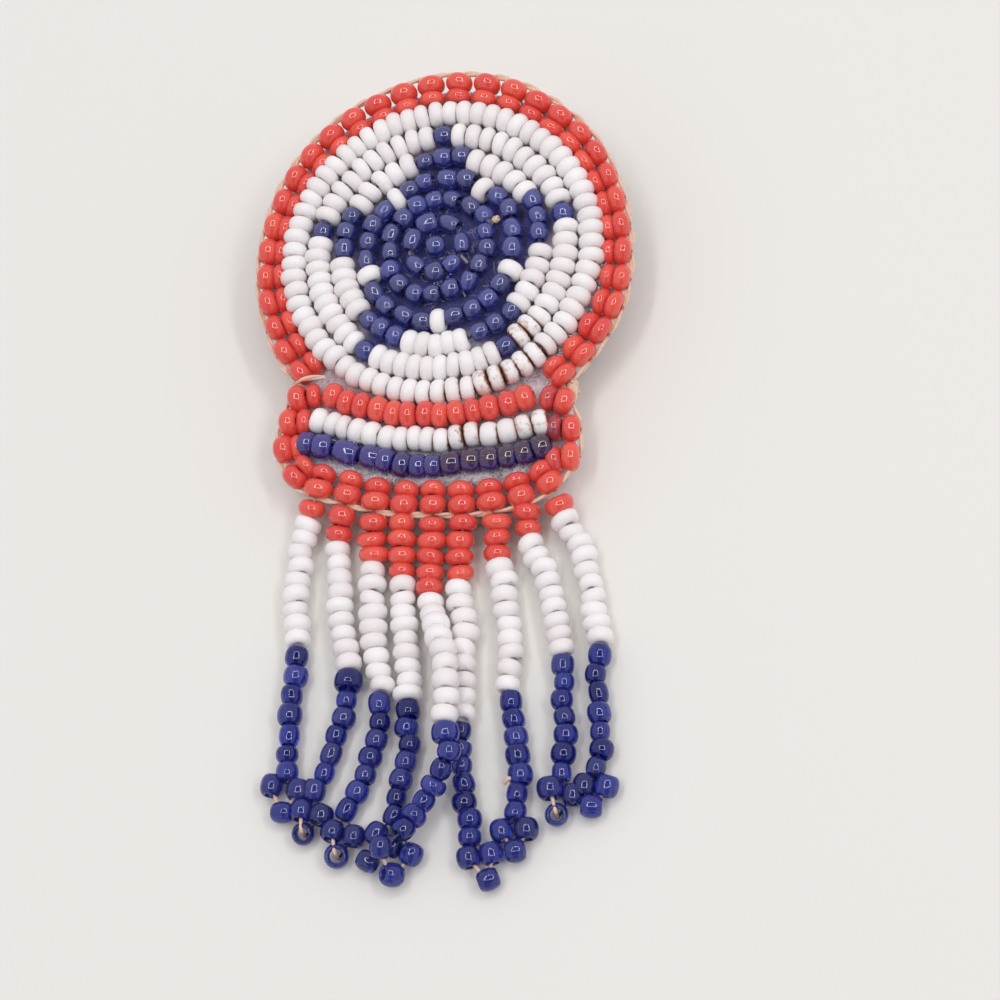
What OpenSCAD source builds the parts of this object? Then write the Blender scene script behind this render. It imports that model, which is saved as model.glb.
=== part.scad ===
// A beaded brooch. A round felt backing with a lobe below it is sewn with rings and rows of glass
// seed beads, edged with pairs of beads, and hung with nine short strands that end in small loops.
// A bar pin is fixed across its back. Lengths are in millimetres. The brooch lies face up: the pin
// and the lobe's lower edge touch the surface, so the felt leans, and the strands lie flat.

/* [Beads] */
// Diameter of a white bead
bead_d = 2.2; // [2.1:0.05:2.2]
// Length that one white bead takes on its thread
white_pitch = 1.28; // [1.2:0.02:1.36]
// Length that one navy bead takes on its thread
navy_pitch = 1.6; // [1.5:0.05:1.7]
// Width of a sewn row of beads, which is less than a bead, because its neighbours press on it
row_w = 1.94; // [1.8:0.02:1.94]
// Gap between one row and the next, and between the beads and the felt
bead_gap = 0.15; // [0.1:0.01:0.16]

/* [Rosette] */
// Radius of the round felt
rosette_r = 16.8; // [16.7:0.05:17.2]
// Distance from one ring of beads to the next
ring_pitch = 2.2; // [2.2:0.01:2.22]
// Beads in each arm of the star on its fourth ring
arm_beads = 3; // [2:1:3]

/* [Felt] */
// Thickness of the felt
felt_t = 1.5; // [1.2:0.1:1.8]
// Radius of the lobe's rounded corners
corner_r = 4.8; // [4.7:0.05:5]

/* [Edging] */
// Diameter of an edging pair at its inner end
pair_d_inner = 1.95; // [1.85:0.05:1.95]
// Diameter of an edging pair at its outer end
pair_d_outer = 2.05; // [1.95:0.05:2.05]
// Length of a pair of edging beads
pair_len = 2.35; // [2.2:0.05:2.4]

/* [Pin] */
// Length of the pin's bar
bar_len = 26; // [24:0.5:27]
// Width of the pin's bar
bar_w = 4.2; // [4:0.1:4.4]
// Diameter of the pin's stem
stem_d = 0.9; // [0.7:0.1:1]
// Height of the pin behind the felt
pin_drop = 3.7; // [3.4:0.1:4]

/* [Fringe] */
// Diameter of a strand's white and red beads
strand_d = 2.2; // [2.1:0.05:2.2]
// Diameter of a strand's navy beads
navy_d = 2.05; // [1.95:0.05:2.05]
// Diameter of the beads in a strand's end loop
end_bead_d = 1.7; // [1.5:0.05:1.7]

/* [Hidden] */
$fn = 48;
hull_fn = 32;
tube_sides = 8;
strands = 9;
// Where the rosette's centre stands, so that the whole brooch is centred on the origin
rosette_at = [-1.2, 19.6];

// The star's five arms, as angles round the rosette, counted from its right
arm_angles = [18, 94, 170, 238, 306];
// The first rings were started a little off the felt's centre
first_ring_shift = [-0.6, 0.65];
outer_ring = 6;
bead_level = felt_t + bead_gap + bead_d / 2;

// Circles that the lobe is drawn round: across from the middle, and up from the rosette's centre
lobe_circles = [[8.2, -15.2], [8.7, -17.5], [4.6, -18.4], [0, -18.7]];
lobe_reach = corner_r - lobe_circles[3][1];
notch_r = 0.6;
facet_fn = 96;

// Rows sewn on the lobe: radius of the row's curve, its lowest point, left end and right end
RED_ROW = [19.5, -15.3, -8.9, 9.2];
WHITE_ROW = [27, -17.4, -9.9, 10.1];
NAVY_ROW = [33, -19.6, -10.9, 10.8];

// Edging pairs: the rosette's run round it at an even step, and so do the lobe's lower ones
pair_level = felt_t + bead_gap + pair_d_outer / 2;
rosette_pairs = 31;
rosette_pair_from = -44.7;
rosette_pair_step = 8.96;
rosette_pair_r = 14.35;
lower_pairs = 7;
lower_pair_from = 253.8;
lower_pair_step = 6.1;
lower_pair_r = 21.55;
lower_pair_centre = [0.4, 0];
// The lobe's other pairs, left side down and then right side up: x, y and heading of the inner
// end, and length
SIDE_PAIRS = [
    [-9.7, -13.4, 186, 2.2],
    [-10.45, -15.7, 183, 2.2],
    [-11.4, -18.3, 184, 1.5],
    [-10.35, -19.65, 245, 2.2],
    [-8.3, -19.85, 257, 2.25],
    [10.05, -19.65, 305, 2.25],
    [11.65, -18.75, 4, 1.6],
    [10.85, -16.25, -5, 2.2],
    [10.3, -13.55, -12, 2]
];

// The pin: its stem lies behind the bar, from the hinge to the catch
pin_y = 7.4;
bar_t = 0.8;
knuckle_d = 2.2;
knuckle_len = 3.6;
knuckle_x = 11.2;
catch_x = -11;
catch_len = 2.2;
catch_wall = 0.45;
web_w = 1.6;
stem_level = -pin_drop + knuckle_d / 2;
stem_tip = 2.4;
foot_y = pin_y - knuckle_len / 2;

// The felt leans until the pin's hinge and the lobe's lower edge both touch the surface
lean = atan(pin_drop / (lobe_reach + foot_y));
rosette_rise = lobe_reach * sin(lean);
catch_d = 2 * (rosette_rise + pin_y * sin(lean) + stem_level * cos(lean));

// Each strand's route over the surface, from the rosette's centre: x, y and the bead's height.
// Points 0 and 1 end its red beads, 1 and 4 its white ones, and 4 and 7 its navy ones.
red_end = 1;
white_end = 4;
navy_end = 7;
ROUTES = [
    [[-9.1, -22.9, 2.4], [-9.5, -24.2, 1.7], [-10, -26.5, 1.1], [-9.8, -31, 1.1],
     [-9, -35.8, 1.1], [-8.9, -40, 1.1], [-8.6, -43.5, 1.1], [-8.4, -46.8, 1.1]],
    [[-6.7, -23.5, 2.4], [-6.8, -26.3, 1.2], [-6.2, -29.8, 1.1], [-5.6, -33.4, 1.1],
     [-4.4, -37.9, 1.1], [-4.2, -41.4, 1.1], [-4.9, -45, 1.1], [-5.9, -48.5, 1.1]],
    [[-3.8, -24.1, 2.4], [-3.5, -28.1, 1.1], [-3.2, -32, 1.1], [-2.4, -36, 1.1],
     [-1.5, -39.7, 1.1], [-1.3, -43, 1.1], [-2, -47, 1.1], [-2.9, -50.2, 1.1]],
    [[-1.2, -24.2, 2.4], [-0.9, -29.5, 1.1], [-0.3, -33, 1.1], [0.5, -36.5, 1.1],
     [0.9, -40.3, 1.1], [1.4, -44.5, 1.1], [1.2, -48, 1.1], [0.8, -50.8, 1.1]],
    [[1.3, -24.3, 2.4], [1.7, -30.9, 1.1], [2.9, -34.3, 2.5], [4.4, -38.2, 3.6],
     [4.9, -42.9, 3.5], [5.2, -45.6, 3.5], [3.7, -48.9, 2.2], [2.2, -51.8, 2.6]],
    [[4, -24.1, 2.4], [4.1, -29.6, 1.1], [5, -34, 1.1], [5.3, -38, 1.1],
     [5.7, -41.9, 1.1], [5.8, -45, 1.1], [6.8, -48.8, 1.1], [7.6, -51.6, 1.1]],
    [[6.8, -23.9, 2.4], [7.1, -27.7, 1.1], [8.3, -31.6, 1.1], [9, -35.4, 1.1],
     [9.1, -39.3, 1.1], [10.3, -43.2, 1.1], [10.8, -46.4, 1.1], [11, -49.2, 1.1]],
    [[9.4, -22.9, 2.4], [9.6, -25.5, 1.4], [11.2, -28.6, 1.1], [12.4, -32.4, 1.1],
     [13.4, -35.9, 1.1], [13.7, -39.5, 1.1], [14.2, -43, 1.1], [14.2, -45.9, 1.1]],
    [[11.7, -22.2, 2.4], [12.3, -23.5, 1.8], [13.9, -26.3, 1.1], [15.2, -30.2, 1.1],
     [16.2, -34.9, 1.1], [16.2, -38.4, 1.1], [17, -42.2, 1.1], [16.9, -45, 1.1]]
];
// The three beads of each strand's end loop, left, lower and right: x, y and height. The fifth
// strand's loop lies over the fourth's.
lies = end_bead_d / 2;
END_BEADS = [
    [[-9.6, -48.1, lies], [-8.6, -50, lies], [-7.8, -48.2, lies]],
    [[-6.8, -50, lies], [-6.1, -51.9, lies], [-5, -50.2, lies]],
    [[-3.8, -51.7, lies], [-3.1, -53.5, lies], [-2, -51.9, lies]],
    [[-0.2, -52, lies], [-0.7, -53.8, lies], [1.1, -53.3, lies]],
    [[0.9, -53.5, 2.8], [1.7, -55, 1.3], [2.9, -53.1, 1.1]],
    [[7.3, -53.1, lies], [9, -54.8, lies], [9.1, -52.8, lies]],
    [[9.9, -50.8, lies], [10.9, -52.4, lies], [11.7, -50.7, lies]],
    [[13.3, -47.3, lies], [14, -49.2, lies], [15.1, -47.5, lies]],
    [[16.5, -46.3, lies], [17.2, -48.2, lies], [18.3, -46.5, lies]]
];

// Angle whose arc on a ring has the given length
function turn_of(ring, length) = length / (ring * ring_pitch) * 180 / PI;

// Angle of an arm of the star, counted on past a full turn
function arm(i) = arm_angles[i % len(arm_angles)] + 360 * floor(i / len(arm_angles));

// Angle half way between an arm and the next one
function valley(i) = (arm(i) + arm(i + 1)) / 2;

// How far a ring's centre lies from the felt's
function ring_shift(ring) = first_ring_shift * (1 - ring / outer_ring);

function unit(v) = v / norm(v);

// Direction of a route at one of its points
function heading(route, i) =
    unit(route[min(i + 1, len(route) - 1)] - route[max(i - 1, 0)]);

// Corners of a tube's cross-section at a point of its route, with a flat side below. A shift moves
// it along the route, which keeps one stretch clear of the next.
function tube_ring(route, i, shift, r) =
    let (along = heading(route, i))
    let (across = unit(cross(along, [0, 0, 1])))
    let (up = cross(across, along))
    [for (k = [0:tube_sides - 1])
        let (a = (k + 0.5) * 360 / tube_sides)
        route[i] + shift * along
            + r / cos(180 / tube_sides) * (cos(a) * across + sin(a) * up)];

// Puts what is drawn flat, round the rosette's centre, on the leaning felt
module laid() {
    translate([rosette_at[0], rosette_at[1], rosette_rise])
        rotate([lean, 0, 0])
            children();
}

// Outline of a row of beads, cut across: round, with flats where the next rows press
module row_section() {
    intersection() {
        circle(d = bead_d);
        square([row_w, bead_d], center = true);
    }
}

// Beads of one ring, between two angles
module ring_beads(ring, from, to) {
    translate(ring_shift(ring))
        rotate([0, 0, from])
            rotate_extrude(angle = min(to - from, 360))
                translate([ring * ring_pitch, 0])
                    row_section();
}

// A sewn row on the lobe, which sags to its lowest point in the middle
module lobe_row(row) {
    left = asin(row[2] / row[0]);
    right = asin(row[3] / row[0]);
    translate([0, row[1] + row[0], bead_level])
        rotate([0, 0, left - 90])
            rotate_extrude(angle = right - left)
                translate([row[0], 0])
                    row_section();
}

// Two beads on one stitch over the felt's edge, from their inner end outwards along X
module bead_pair(length) {
    rotate([0, 90, 0])
        cylinder(h = length, d1 = pair_d_inner, d2 = pair_d_outer);
}

// A tube swept along a strand's route, between two of its points
module strand_tube(s, from, to, d) {
    route = ROUTES[s - 1];
    rings = to - from + 1;
    points = [for (i = [from:to])
        each tube_ring(route, i, (i == from ? 1 : i == to ? -1 : 0) * bead_gap / 2, d / 2)];
    sides = [for (i = [0:rings - 2], k = [0:tube_sides - 1])
        let (next = (k + 1) % tube_sides)
        [i * tube_sides + k, i * tube_sides + next, (i + 1) * tube_sides + next,
         (i + 1) * tube_sides + k]];
    near_end = [for (k = [0:tube_sides - 1]) tube_sides - 1 - k];
    far_end = [for (k = [0:tube_sides - 1]) (rings - 1) * tube_sides + k];
    translate([rosette_at[0], rosette_at[1], 0])
        polyhedron(points, concat([near_end], sides, [far_end]));
}

// The round felt and its lobe, with the notches between them rounded
module felt_outline() {
    offset(r = -notch_r)
        offset(delta = notch_r) {
            circle(r = rosette_r, $fn = facet_fn);
            hull()
                for (c = lobe_circles, side = [-1, 1])
                    translate([side * c[0], c[1]])
                        circle(r = corner_r, $fn = hull_fn);
        }
}

module felt_backing() {
    color("gainsboro")
        laid()
            linear_extrude(felt_t)
                felt_outline();
}

module pin_back() {
    web_h = -stem_level - bar_t;
    color("silver")
        laid()
            translate([0, pin_y, 0]) {
                // Bar that is sewn to the felt
                translate([-bar_len / 2, -bar_w / 2, -bar_t - bead_gap])
                    cube([bar_len, bar_w, bar_t]);
                // Hinge knuckle and its web
                translate([knuckle_x, knuckle_len / 2, stem_level])
                    rotate([90, 0, 0])
                        cylinder(h = knuckle_len, d = knuckle_d);
                translate([knuckle_x - web_w / 2, -knuckle_len / 2, stem_level])
                    cube([web_w, knuckle_len, web_h]);
                // Stem, with its point past the catch
                translate([knuckle_x, 0, stem_level])
                    rotate([0, -90, 0])
                        cylinder(h = knuckle_x - catch_x, d = stem_d);
                translate([catch_x, 0, stem_level])
                    rotate([0, -90, 0])
                        cylinder(h = stem_tip, d1 = stem_d, d2 = stem_d / 4);
                // Catch that holds the stem, and its web
                translate([catch_x + catch_len / 2, 0, stem_level])
                    rotate([0, -90, 0])
                        cylinder(h = catch_len, d = catch_d);
                translate([catch_x - catch_len / 2, -web_w / 2, stem_level])
                    cube([catch_len, web_w, web_h]);
            }
}

// Navy beads of the star: two whole rings round a middle bead, and five arms
module star() {
    color("midnightblue")
        laid()
            translate([0, 0, bead_level]) {
                translate(ring_shift(0))
                    cylinder(h = bead_d, d = row_w, center = true);
                ring_beads(1, 0, 360);
                ring_beads(2, 0, 360);
                for (i = [0:len(arm_angles) - 1]) {
                    ring_beads(3, valley(i) + turn_of(3, white_pitch / 2 + bead_gap),
                        valley(i + 1) - turn_of(3, white_pitch / 2 + bead_gap));
                    ring_beads(4, arm(i) - turn_of(4, arm_beads * navy_pitch / 2),
                        arm(i) + turn_of(4, arm_beads * navy_pitch / 2));
                    ring_beads(5, arm(i) - turn_of(5, navy_pitch / 2),
                        arm(i) + turn_of(5, navy_pitch / 2));
                }
            }
}

// White beads that fill the rings between the star's arms
module star_ground() {
    color("whitesmoke")
        laid()
            translate([0, 0, bead_level])
                for (i = [0:len(arm_angles) - 1]) {
                    ring_beads(3, valley(i) - turn_of(3, white_pitch / 2),
                        valley(i) + turn_of(3, white_pitch / 2));
                    ring_beads(4, arm(i) + turn_of(4, arm_beads * navy_pitch / 2 + bead_gap),
                        arm(i + 1) - turn_of(4, arm_beads * navy_pitch / 2 + bead_gap));
                    ring_beads(5, arm(i) + turn_of(5, navy_pitch / 2 + bead_gap),
                        arm(i + 1) - turn_of(5, navy_pitch / 2 + bead_gap));
                }
}

module outer_ring_beads() {
    color("whitesmoke")
        laid()
            translate([0, 0, bead_level])
                ring_beads(outer_ring, 0, 360);
}

// Red pairs, stitched over the whole edge of the felt
module edging_pairs() {
    color("tomato")
        laid()
            translate([0, 0, pair_level]) {
                for (i = [0:rosette_pairs - 1])
                    rotate([0, 0, rosette_pair_from + i * rosette_pair_step])
                        translate([rosette_pair_r, 0, 0])
                            bead_pair(pair_len);
                for (i = [0:lower_pairs - 1])
                    translate(lower_pair_centre)
                        rotate([0, 0, lower_pair_from + i * lower_pair_step])
                            translate([lower_pair_r, 0, 0])
                                bead_pair(pair_len);
                for (pair = SIDE_PAIRS)
                    translate([pair[0], pair[1], 0])
                        rotate([0, 0, pair[2]])
                            bead_pair(pair[3]);
            }
}

module lobe_red_row() {
    color("tomato")
        laid()
            lobe_row(RED_ROW);
}

module lobe_white_row() {
    color("whitesmoke")
        laid()
            lobe_row(WHITE_ROW);
}

module lobe_navy_row() {
    color("midnightblue")
        laid()
            lobe_row(NAVY_ROW);
}

// Red beads at the top of all the strands, longest in the middle
module fringe_red_beads() {
    color("tomato")
        for (s = [1:strands])
            strand_tube(s, 0, red_end, strand_d);
}

module strand_white(s) {
    color("whitesmoke")
        strand_tube(s, red_end, white_end, strand_d);
}

module strand_navy(s) {
    color("midnightblue")
        strand_tube(s, white_end, navy_end, navy_d);
}

// Three navy beads at the end of each strand, where its thread turns back
module fringe_end_beads() {
    color("midnightblue")
        translate([rosette_at[0], rosette_at[1], 0])
            for (beads = END_BEADS, at = beads)
                translate(at)
                    sphere(d = end_bead_d);
}

felt_backing();
pin_back();
star();
star_ground();
outer_ring_beads();
edging_pairs();
lobe_red_row();
lobe_white_row();
lobe_navy_row();
fringe_red_beads();
for (s = [1:strands]) strand_white(s);
for (s = [1:strands]) strand_navy(s);
fringe_end_beads();
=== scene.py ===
import math
import random

import bmesh
import bpy
from mathutils import Euler, Matrix, Vector, kdtree, noise


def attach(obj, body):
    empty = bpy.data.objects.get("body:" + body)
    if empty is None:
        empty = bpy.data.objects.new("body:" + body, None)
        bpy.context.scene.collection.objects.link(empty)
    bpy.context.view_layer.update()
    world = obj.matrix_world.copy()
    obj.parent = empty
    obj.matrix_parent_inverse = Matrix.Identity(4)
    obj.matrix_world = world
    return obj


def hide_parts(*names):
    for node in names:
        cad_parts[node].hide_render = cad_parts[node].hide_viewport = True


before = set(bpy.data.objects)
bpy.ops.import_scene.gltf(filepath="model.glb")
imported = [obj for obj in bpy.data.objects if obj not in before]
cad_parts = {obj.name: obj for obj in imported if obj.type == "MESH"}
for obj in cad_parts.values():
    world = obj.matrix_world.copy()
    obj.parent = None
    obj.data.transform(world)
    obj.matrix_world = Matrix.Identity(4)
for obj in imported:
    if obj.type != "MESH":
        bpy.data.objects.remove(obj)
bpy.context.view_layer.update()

# Camera
# The camera stands where the photo was taken from, low right of the brooch, and looks down on it.
# Its lens gives the photo's square frame, 2400 pixels of focal length to 1000 of width.
MM = 0.001
CAMERA_AIM = Vector((5.2, -1.9, 0)) * MM
CAMERA_DISTANCE = 202.9 * MM
CAMERA_ELEVATION = math.radians(62)
CAMERA_AZIMUTH = math.radians(26.8)
CAMERA_ROLL = math.radians(-23.2)
SENSOR_WIDTH = 36
FOCAL_SHARE = 2.4

lens = bpy.data.cameras.new("camera")
lens.sensor_width = SENSOR_WIDTH
lens.lens = SENSOR_WIDTH * FOCAL_SHARE
lens.clip_start = 10 * MM
lens.clip_end = 10
camera = bpy.data.objects.new("camera", lens)
camera_back = Vector((
    math.sin(CAMERA_AZIMUTH) * math.cos(CAMERA_ELEVATION),
    -math.cos(CAMERA_AZIMUTH) * math.cos(CAMERA_ELEVATION),
    math.sin(CAMERA_ELEVATION),
))
upright = (-camera_back).to_track_quat("-Z", "Y").to_matrix().to_4x4()
camera_at = Matrix.Translation(CAMERA_AIM + camera_back * CAMERA_DISTANCE)
camera.matrix_world = camera_at @ upright @ Matrix.Rotation(CAMERA_ROLL, 4, "Z")
bpy.context.scene.collection.objects.link(camera)
bpy.context.scene.camera = camera
bpy.context.scene.view_settings.view_transform = "Standard"

# Light
# Soft daylight from a pale dome, which is dimmer behind the camera. Four strip lamps make a square
# frame there, as a window's edges would, and each glossy bead shows the frame as a small bright
# outline.
DOME_COLOUR = (0.98, 0.97, 1.0)
DOME_STRENGTH = 0.66
DIM_STRENGTH = 0.12
# How far the dim part reaches aside of the camera and above it, as slopes, and how soft its border is
DIM_HALF_WIDTH = 0.4
DIM_HEIGHT = 0.9
DIM_BLUR = 0.03
# The window, from the point at which the camera aims, and how bright its foot is beside the rest
WINDOW_DISTANCE = 600 * MM
WINDOW_HALF_WIDTH = 290 * MM
WINDOW_TOP = 600 * MM
WINDOW_FOOT = 40 * MM
WINDOW_STRIP = 70 * MM
WINDOW_WATTS_A_METRE = 2.1
FOOT_SHARE = 0.5


def node(material, kind, inputs=(), **settings):
    """Adds a node to a material, with its settings, and with a value or a link for each input."""
    made = material.node_tree.nodes.new(kind)
    for setting, value in settings.items():
        setattr(made, setting, value)
    for socket, value in dict(inputs).items():
        if isinstance(value, bpy.types.NodeSocket):
            material.node_tree.links.new(value, made.inputs[socket])
        else:
            made.inputs[socket].default_value = value
    return made


camera_turn = camera.matrix_world.to_3x3()
daylight = bpy.data.worlds.new("daylight")
daylight.use_nodes = True
dome = daylight.node_tree.nodes["Background"]
dome.inputs["Color"].default_value = (*DOME_COLOUR, 1)
towards = node(daylight, "ShaderNodeTexCoord").outputs["Generated"]
sideways, upwards, backwards = [
    node(daylight, "ShaderNodeVectorMath", {0: towards, 1: axis}, operation="DOT_PRODUCT").outputs["Value"]
    for axis in camera_turn.col
]
# Past the dim part's sides or its top, the dome is bright.
aside = node(daylight, "ShaderNodeMath", {0: sideways}, operation="ABSOLUTE").outputs[0]
past_side = node(daylight, "ShaderNodeMath", {
    0: backwards, 1: -DIM_HALF_WIDTH, 2: aside,
}, operation="MULTIPLY_ADD").outputs[0]
past_top = node(daylight, "ShaderNodeMath", {
    0: backwards, 1: -DIM_HEIGHT, 2: upwards,
}, operation="MULTIPLY_ADD").outputs[0]
past = node(daylight, "ShaderNodeMath", {0: past_side, 1: past_top}, operation="MAXIMUM").outputs[0]
brightness = node(daylight, "ShaderNodeMapRange", {
    "Value": past, "From Min": -DIM_BLUR, "From Max": DIM_BLUR,
    "To Min": DIM_STRENGTH, "To Max": DOME_STRENGTH,
})
daylight.node_tree.links.new(brightness.outputs["Result"], dome.inputs["Strength"])
bpy.context.scene.world = daylight

window_height = WINDOW_TOP - WINDOW_FOOT
window_middle = (WINDOW_TOP + WINDOW_FOOT) / 2
window_inside = 2 * WINDOW_HALF_WIDTH - WINDOW_STRIP
# Each strip: where its middle is, across and up, its size, and its share of the full brightness
for name, across, up, width, height, power in [
    ("window_left", -WINDOW_HALF_WIDTH, window_middle, WINDOW_STRIP, window_height, 1.0),
    ("window_right", WINDOW_HALF_WIDTH, window_middle, WINDOW_STRIP, window_height, 1.0),
    ("window_top", 0, WINDOW_TOP, window_inside, WINDOW_STRIP, 1.0),
    ("window_foot", 0, WINDOW_FOOT, window_inside, WINDOW_STRIP, FOOT_SHARE),
]:
    lamp = bpy.data.lights.new(name, "AREA")
    lamp.shape = "RECTANGLE"
    lamp.size = width
    lamp.size_y = height
    lamp.energy = WINDOW_WATTS_A_METRE * max(width, height) * power
    place = CAMERA_AIM + camera_back * WINDOW_DISTANCE + camera_turn @ Vector((across, up, 0))
    lamp_object = bpy.data.objects.new(name, lamp)
    lamp_object.matrix_world = Matrix.Translation(place) @ camera_turn.to_4x4()
    bpy.context.scene.collection.objects.link(lamp_object)

# Floor
# A plain sheet of pale, matt paper, cut round, for the brooch to lie on. It is the stage, and not
# part of the brooch.
FLOOR_RADIUS = 1500 * MM


def to_linear(colour):
    """An sRGB hex colour as a shader's linear one."""
    parts = [int(colour[i : i + 2], 16) / 255 for i in (1, 3, 5)]
    return [p / 12.92 if p <= 0.04045 else ((p + 0.055) / 1.055) ** 2.4 for p in parts] + [1]


def material_of(name, **constants):
    """A new material, with the numbers and colours that are the same all over its surface."""
    made = bpy.data.materials.new(name)
    made.use_nodes = True
    for socket, value in constants.items():
        made.node_tree.nodes["Principled BSDF"].inputs[socket.replace("_", " ")].default_value = value
    return made


def wire(material, output, socket):
    """Links an output to the material's shader."""
    material.node_tree.links.new(output, material.node_tree.nodes["Principled BSDF"].inputs[socket])


paper = material_of("matt_paper", Base_Color=to_linear("#E9E6E1"), Roughness=0.85)
bm = bmesh.new()
bmesh.ops.create_circle(bm, cap_ends=True, radius=FLOOR_RADIUS, segments=64)
floor_mesh = bpy.data.meshes.new("floor")
bm.to_mesh(floor_mesh)
bm.free()
floor_mesh.materials.append(paper)
floor = bpy.data.objects.new("floor", floor_mesh)
bpy.context.scene.collection.objects.link(floor)

# Felt
# The backing: one piece of thick wool felt, cut by hand to a round with a lobe. The pin behind it
# lifts its upper half, so it leans. It has soft cut edges, and a loose nap that shows between beads.

# The pin's height, how far the lobe reaches below the rosette's centre, and how far above it the pin
# touches the ground. The felt's own frame starts at that centre, on its back, and is in millimetres.
PIN_HEIGHT = 3.7
LOBE_REACH = 23.5
PIN_FOOT = 5.6
LEAN = math.atan(PIN_HEIGHT / (LOBE_REACH + PIN_FOOT))
ROSETTE_AT = (-1.2, 19.6, LOBE_REACH * math.sin(LEAN))
FELT_PLACE = Matrix.Scale(MM, 4) @ Matrix.Translation(ROSETTE_AT) @ Matrix.Rotation(LEAN, 4, "X")
FELT_TOP = 1.5
FELT_VOXEL = 0.32 * MM
SAME_POINT = 0.001 * MM
# The felt's rim is where its surface faces sideways, and its normal rises by less than this.
RIM_UPRIGHT = 0.4
# The stitches' pinch: how far from the rim it reaches, how far in and down it pulls, and how near to
# full it is where it pulls in
PINCH_REACH = 2.6
PINCH_IN = 0.95
PINCH_DOWN = 0.45
FULL_PINCH = 0.9
SMOOTHING_ROUNDS = 8
# Its unevenness, wide and narrow: how far across the bumps are, and how high
WIDE_BUMPS = (2.5, 0.07)
NARROW_BUMPS = (0.6, 0.05)
# The dark part of its face, a painted shade that is blue like light through the cobalt beads: how dark
# it is, how far it reaches, how much further along the star's arms, where the first points, how wide its
# border is, and the height above which it lies
STAR_ARMS = 5
DUSK = 0.95
DUSK_REACH = 8.6
DUSK_ARM_REACH = 2.6
DUSK_ARM_TURN = math.radians(20)
DUSK_BORDER = 1.5
DUSK_LEVEL = 1
# A Mix node has several sockets of one name, so its colour ones go by number.
FACTOR, COLOUR_A, COLOUR_B, COLOUR_OUT = 0, 6, 7, 2


def piece_of(name, mesh, material, slot, *nodes):
    """A finished piece of the brooch: its finish, its body, and the CAD nodes that it stands for."""
    piece = bpy.data.objects.new(name, mesh)
    bpy.context.scene.collection.objects.link(piece)
    mesh.materials.clear()
    mesh.materials.append(material)
    mesh.shade_smooth()
    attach(piece, "root")
    if nodes:
        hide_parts(*nodes)
    return piece


def evaluated_mesh(thing):
    """The mesh that an object makes once its modifiers or its curve's thickness are worked out."""
    bpy.context.view_layer.update()
    made = bpy.data.meshes.new_from_object(thing.evaluated_get(bpy.context.evaluated_depsgraph_get()))
    bpy.data.objects.remove(thing)
    return made


wool = material_of("wool_felt", Roughness=0.95, Sheen_Weight=0.3, Sheen_Roughness=0.6)
wool_place = node(wool, "ShaderNodeTexCoord").outputs["Object"]
# Clumps of wool are about 1.2 mm across, and single fibres, drawn coarser than they are, 0.15 mm.
clumps = node(wool, "ShaderNodeTexNoise", {"Vector": wool_place, "Scale": 1 / (1.2 * MM), "Detail": 4.0})
fibres = node(wool, "ShaderNodeTexNoise", {"Vector": wool_place, "Scale": 1 / (0.15 * MM), "Detail": 2.0})
wool_tone = node(wool, "ShaderNodeMix", {
    FACTOR: clumps.outputs["Fac"],
    COLOUR_A: to_linear("#C4B5BE"),
    COLOUR_B: to_linear("#E6DAE1"),
}, data_type="RGBA")
bright = node(wool, "ShaderNodeMapRange", {
    "Value": fibres.outputs["Fac"], "From Min": 0.5, "From Max": 0.68, "To Max": 0.8,
})
wool_fibres = node(wool, "ShaderNodeMix", {
    FACTOR: bright.outputs["Result"],
    COLOUR_A: wool_tone.outputs[COLOUR_OUT],
    COLOUR_B: to_linear("#F6EEF3"),
}, data_type="RGBA")
# Painted shade, blue like light through the glass, darkens it between the cobalt beads.
painted_shade = node(wool, "ShaderNodeAttribute", attribute_name="painted_shade")
painted_shade_tone = node(wool, "ShaderNodeMix", {
    FACTOR: bright.outputs["Result"],
    COLOUR_A: to_linear("#3D4088"),
    COLOUR_B: to_linear("#6265AE"),
}, data_type="RGBA")
wool_with_painted_shade = node(wool, "ShaderNodeMix", {
    FACTOR: painted_shade.outputs["Fac"],
    COLOUR_A: wool_fibres.outputs[COLOUR_OUT],
    COLOUR_B: painted_shade_tone.outputs[COLOUR_OUT],
}, data_type="RGBA")
wire(wool, wool_with_painted_shade.outputs[COLOUR_OUT], "Base Color")
nap = node(wool, "ShaderNodeBump", {"Height": fibres.outputs["Fac"], "Distance": 0.08 * MM, "Strength": 0.8})
wire(wool, nap.outputs["Normal"], "Normal")

bm = bmesh.new()
bm.from_mesh(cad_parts["felt_backing"].data)
bmesh.ops.remove_doubles(bm, verts=bm.verts, dist=SAME_POINT)
cut_felt = bpy.data.meshes.new("cut_felt")
bm.to_mesh(cut_felt)
bm.free()
felt_blank = bpy.data.objects.new("felt_blank", cut_felt)
bpy.context.scene.collection.objects.link(felt_blank)
remesh = felt_blank.modifiers.new("remesh", "REMESH")
remesh.mode = "VOXEL"
remesh.voxel_size = FELT_VOXEL
felt_mesh = evaluated_mesh(felt_blank)
bm = bmesh.new()
bm.from_mesh(felt_mesh)
bmesh.ops.transform(bm, matrix=FELT_PLACE.inverted(), verts=bm.verts)
bm.normal_update()
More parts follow.
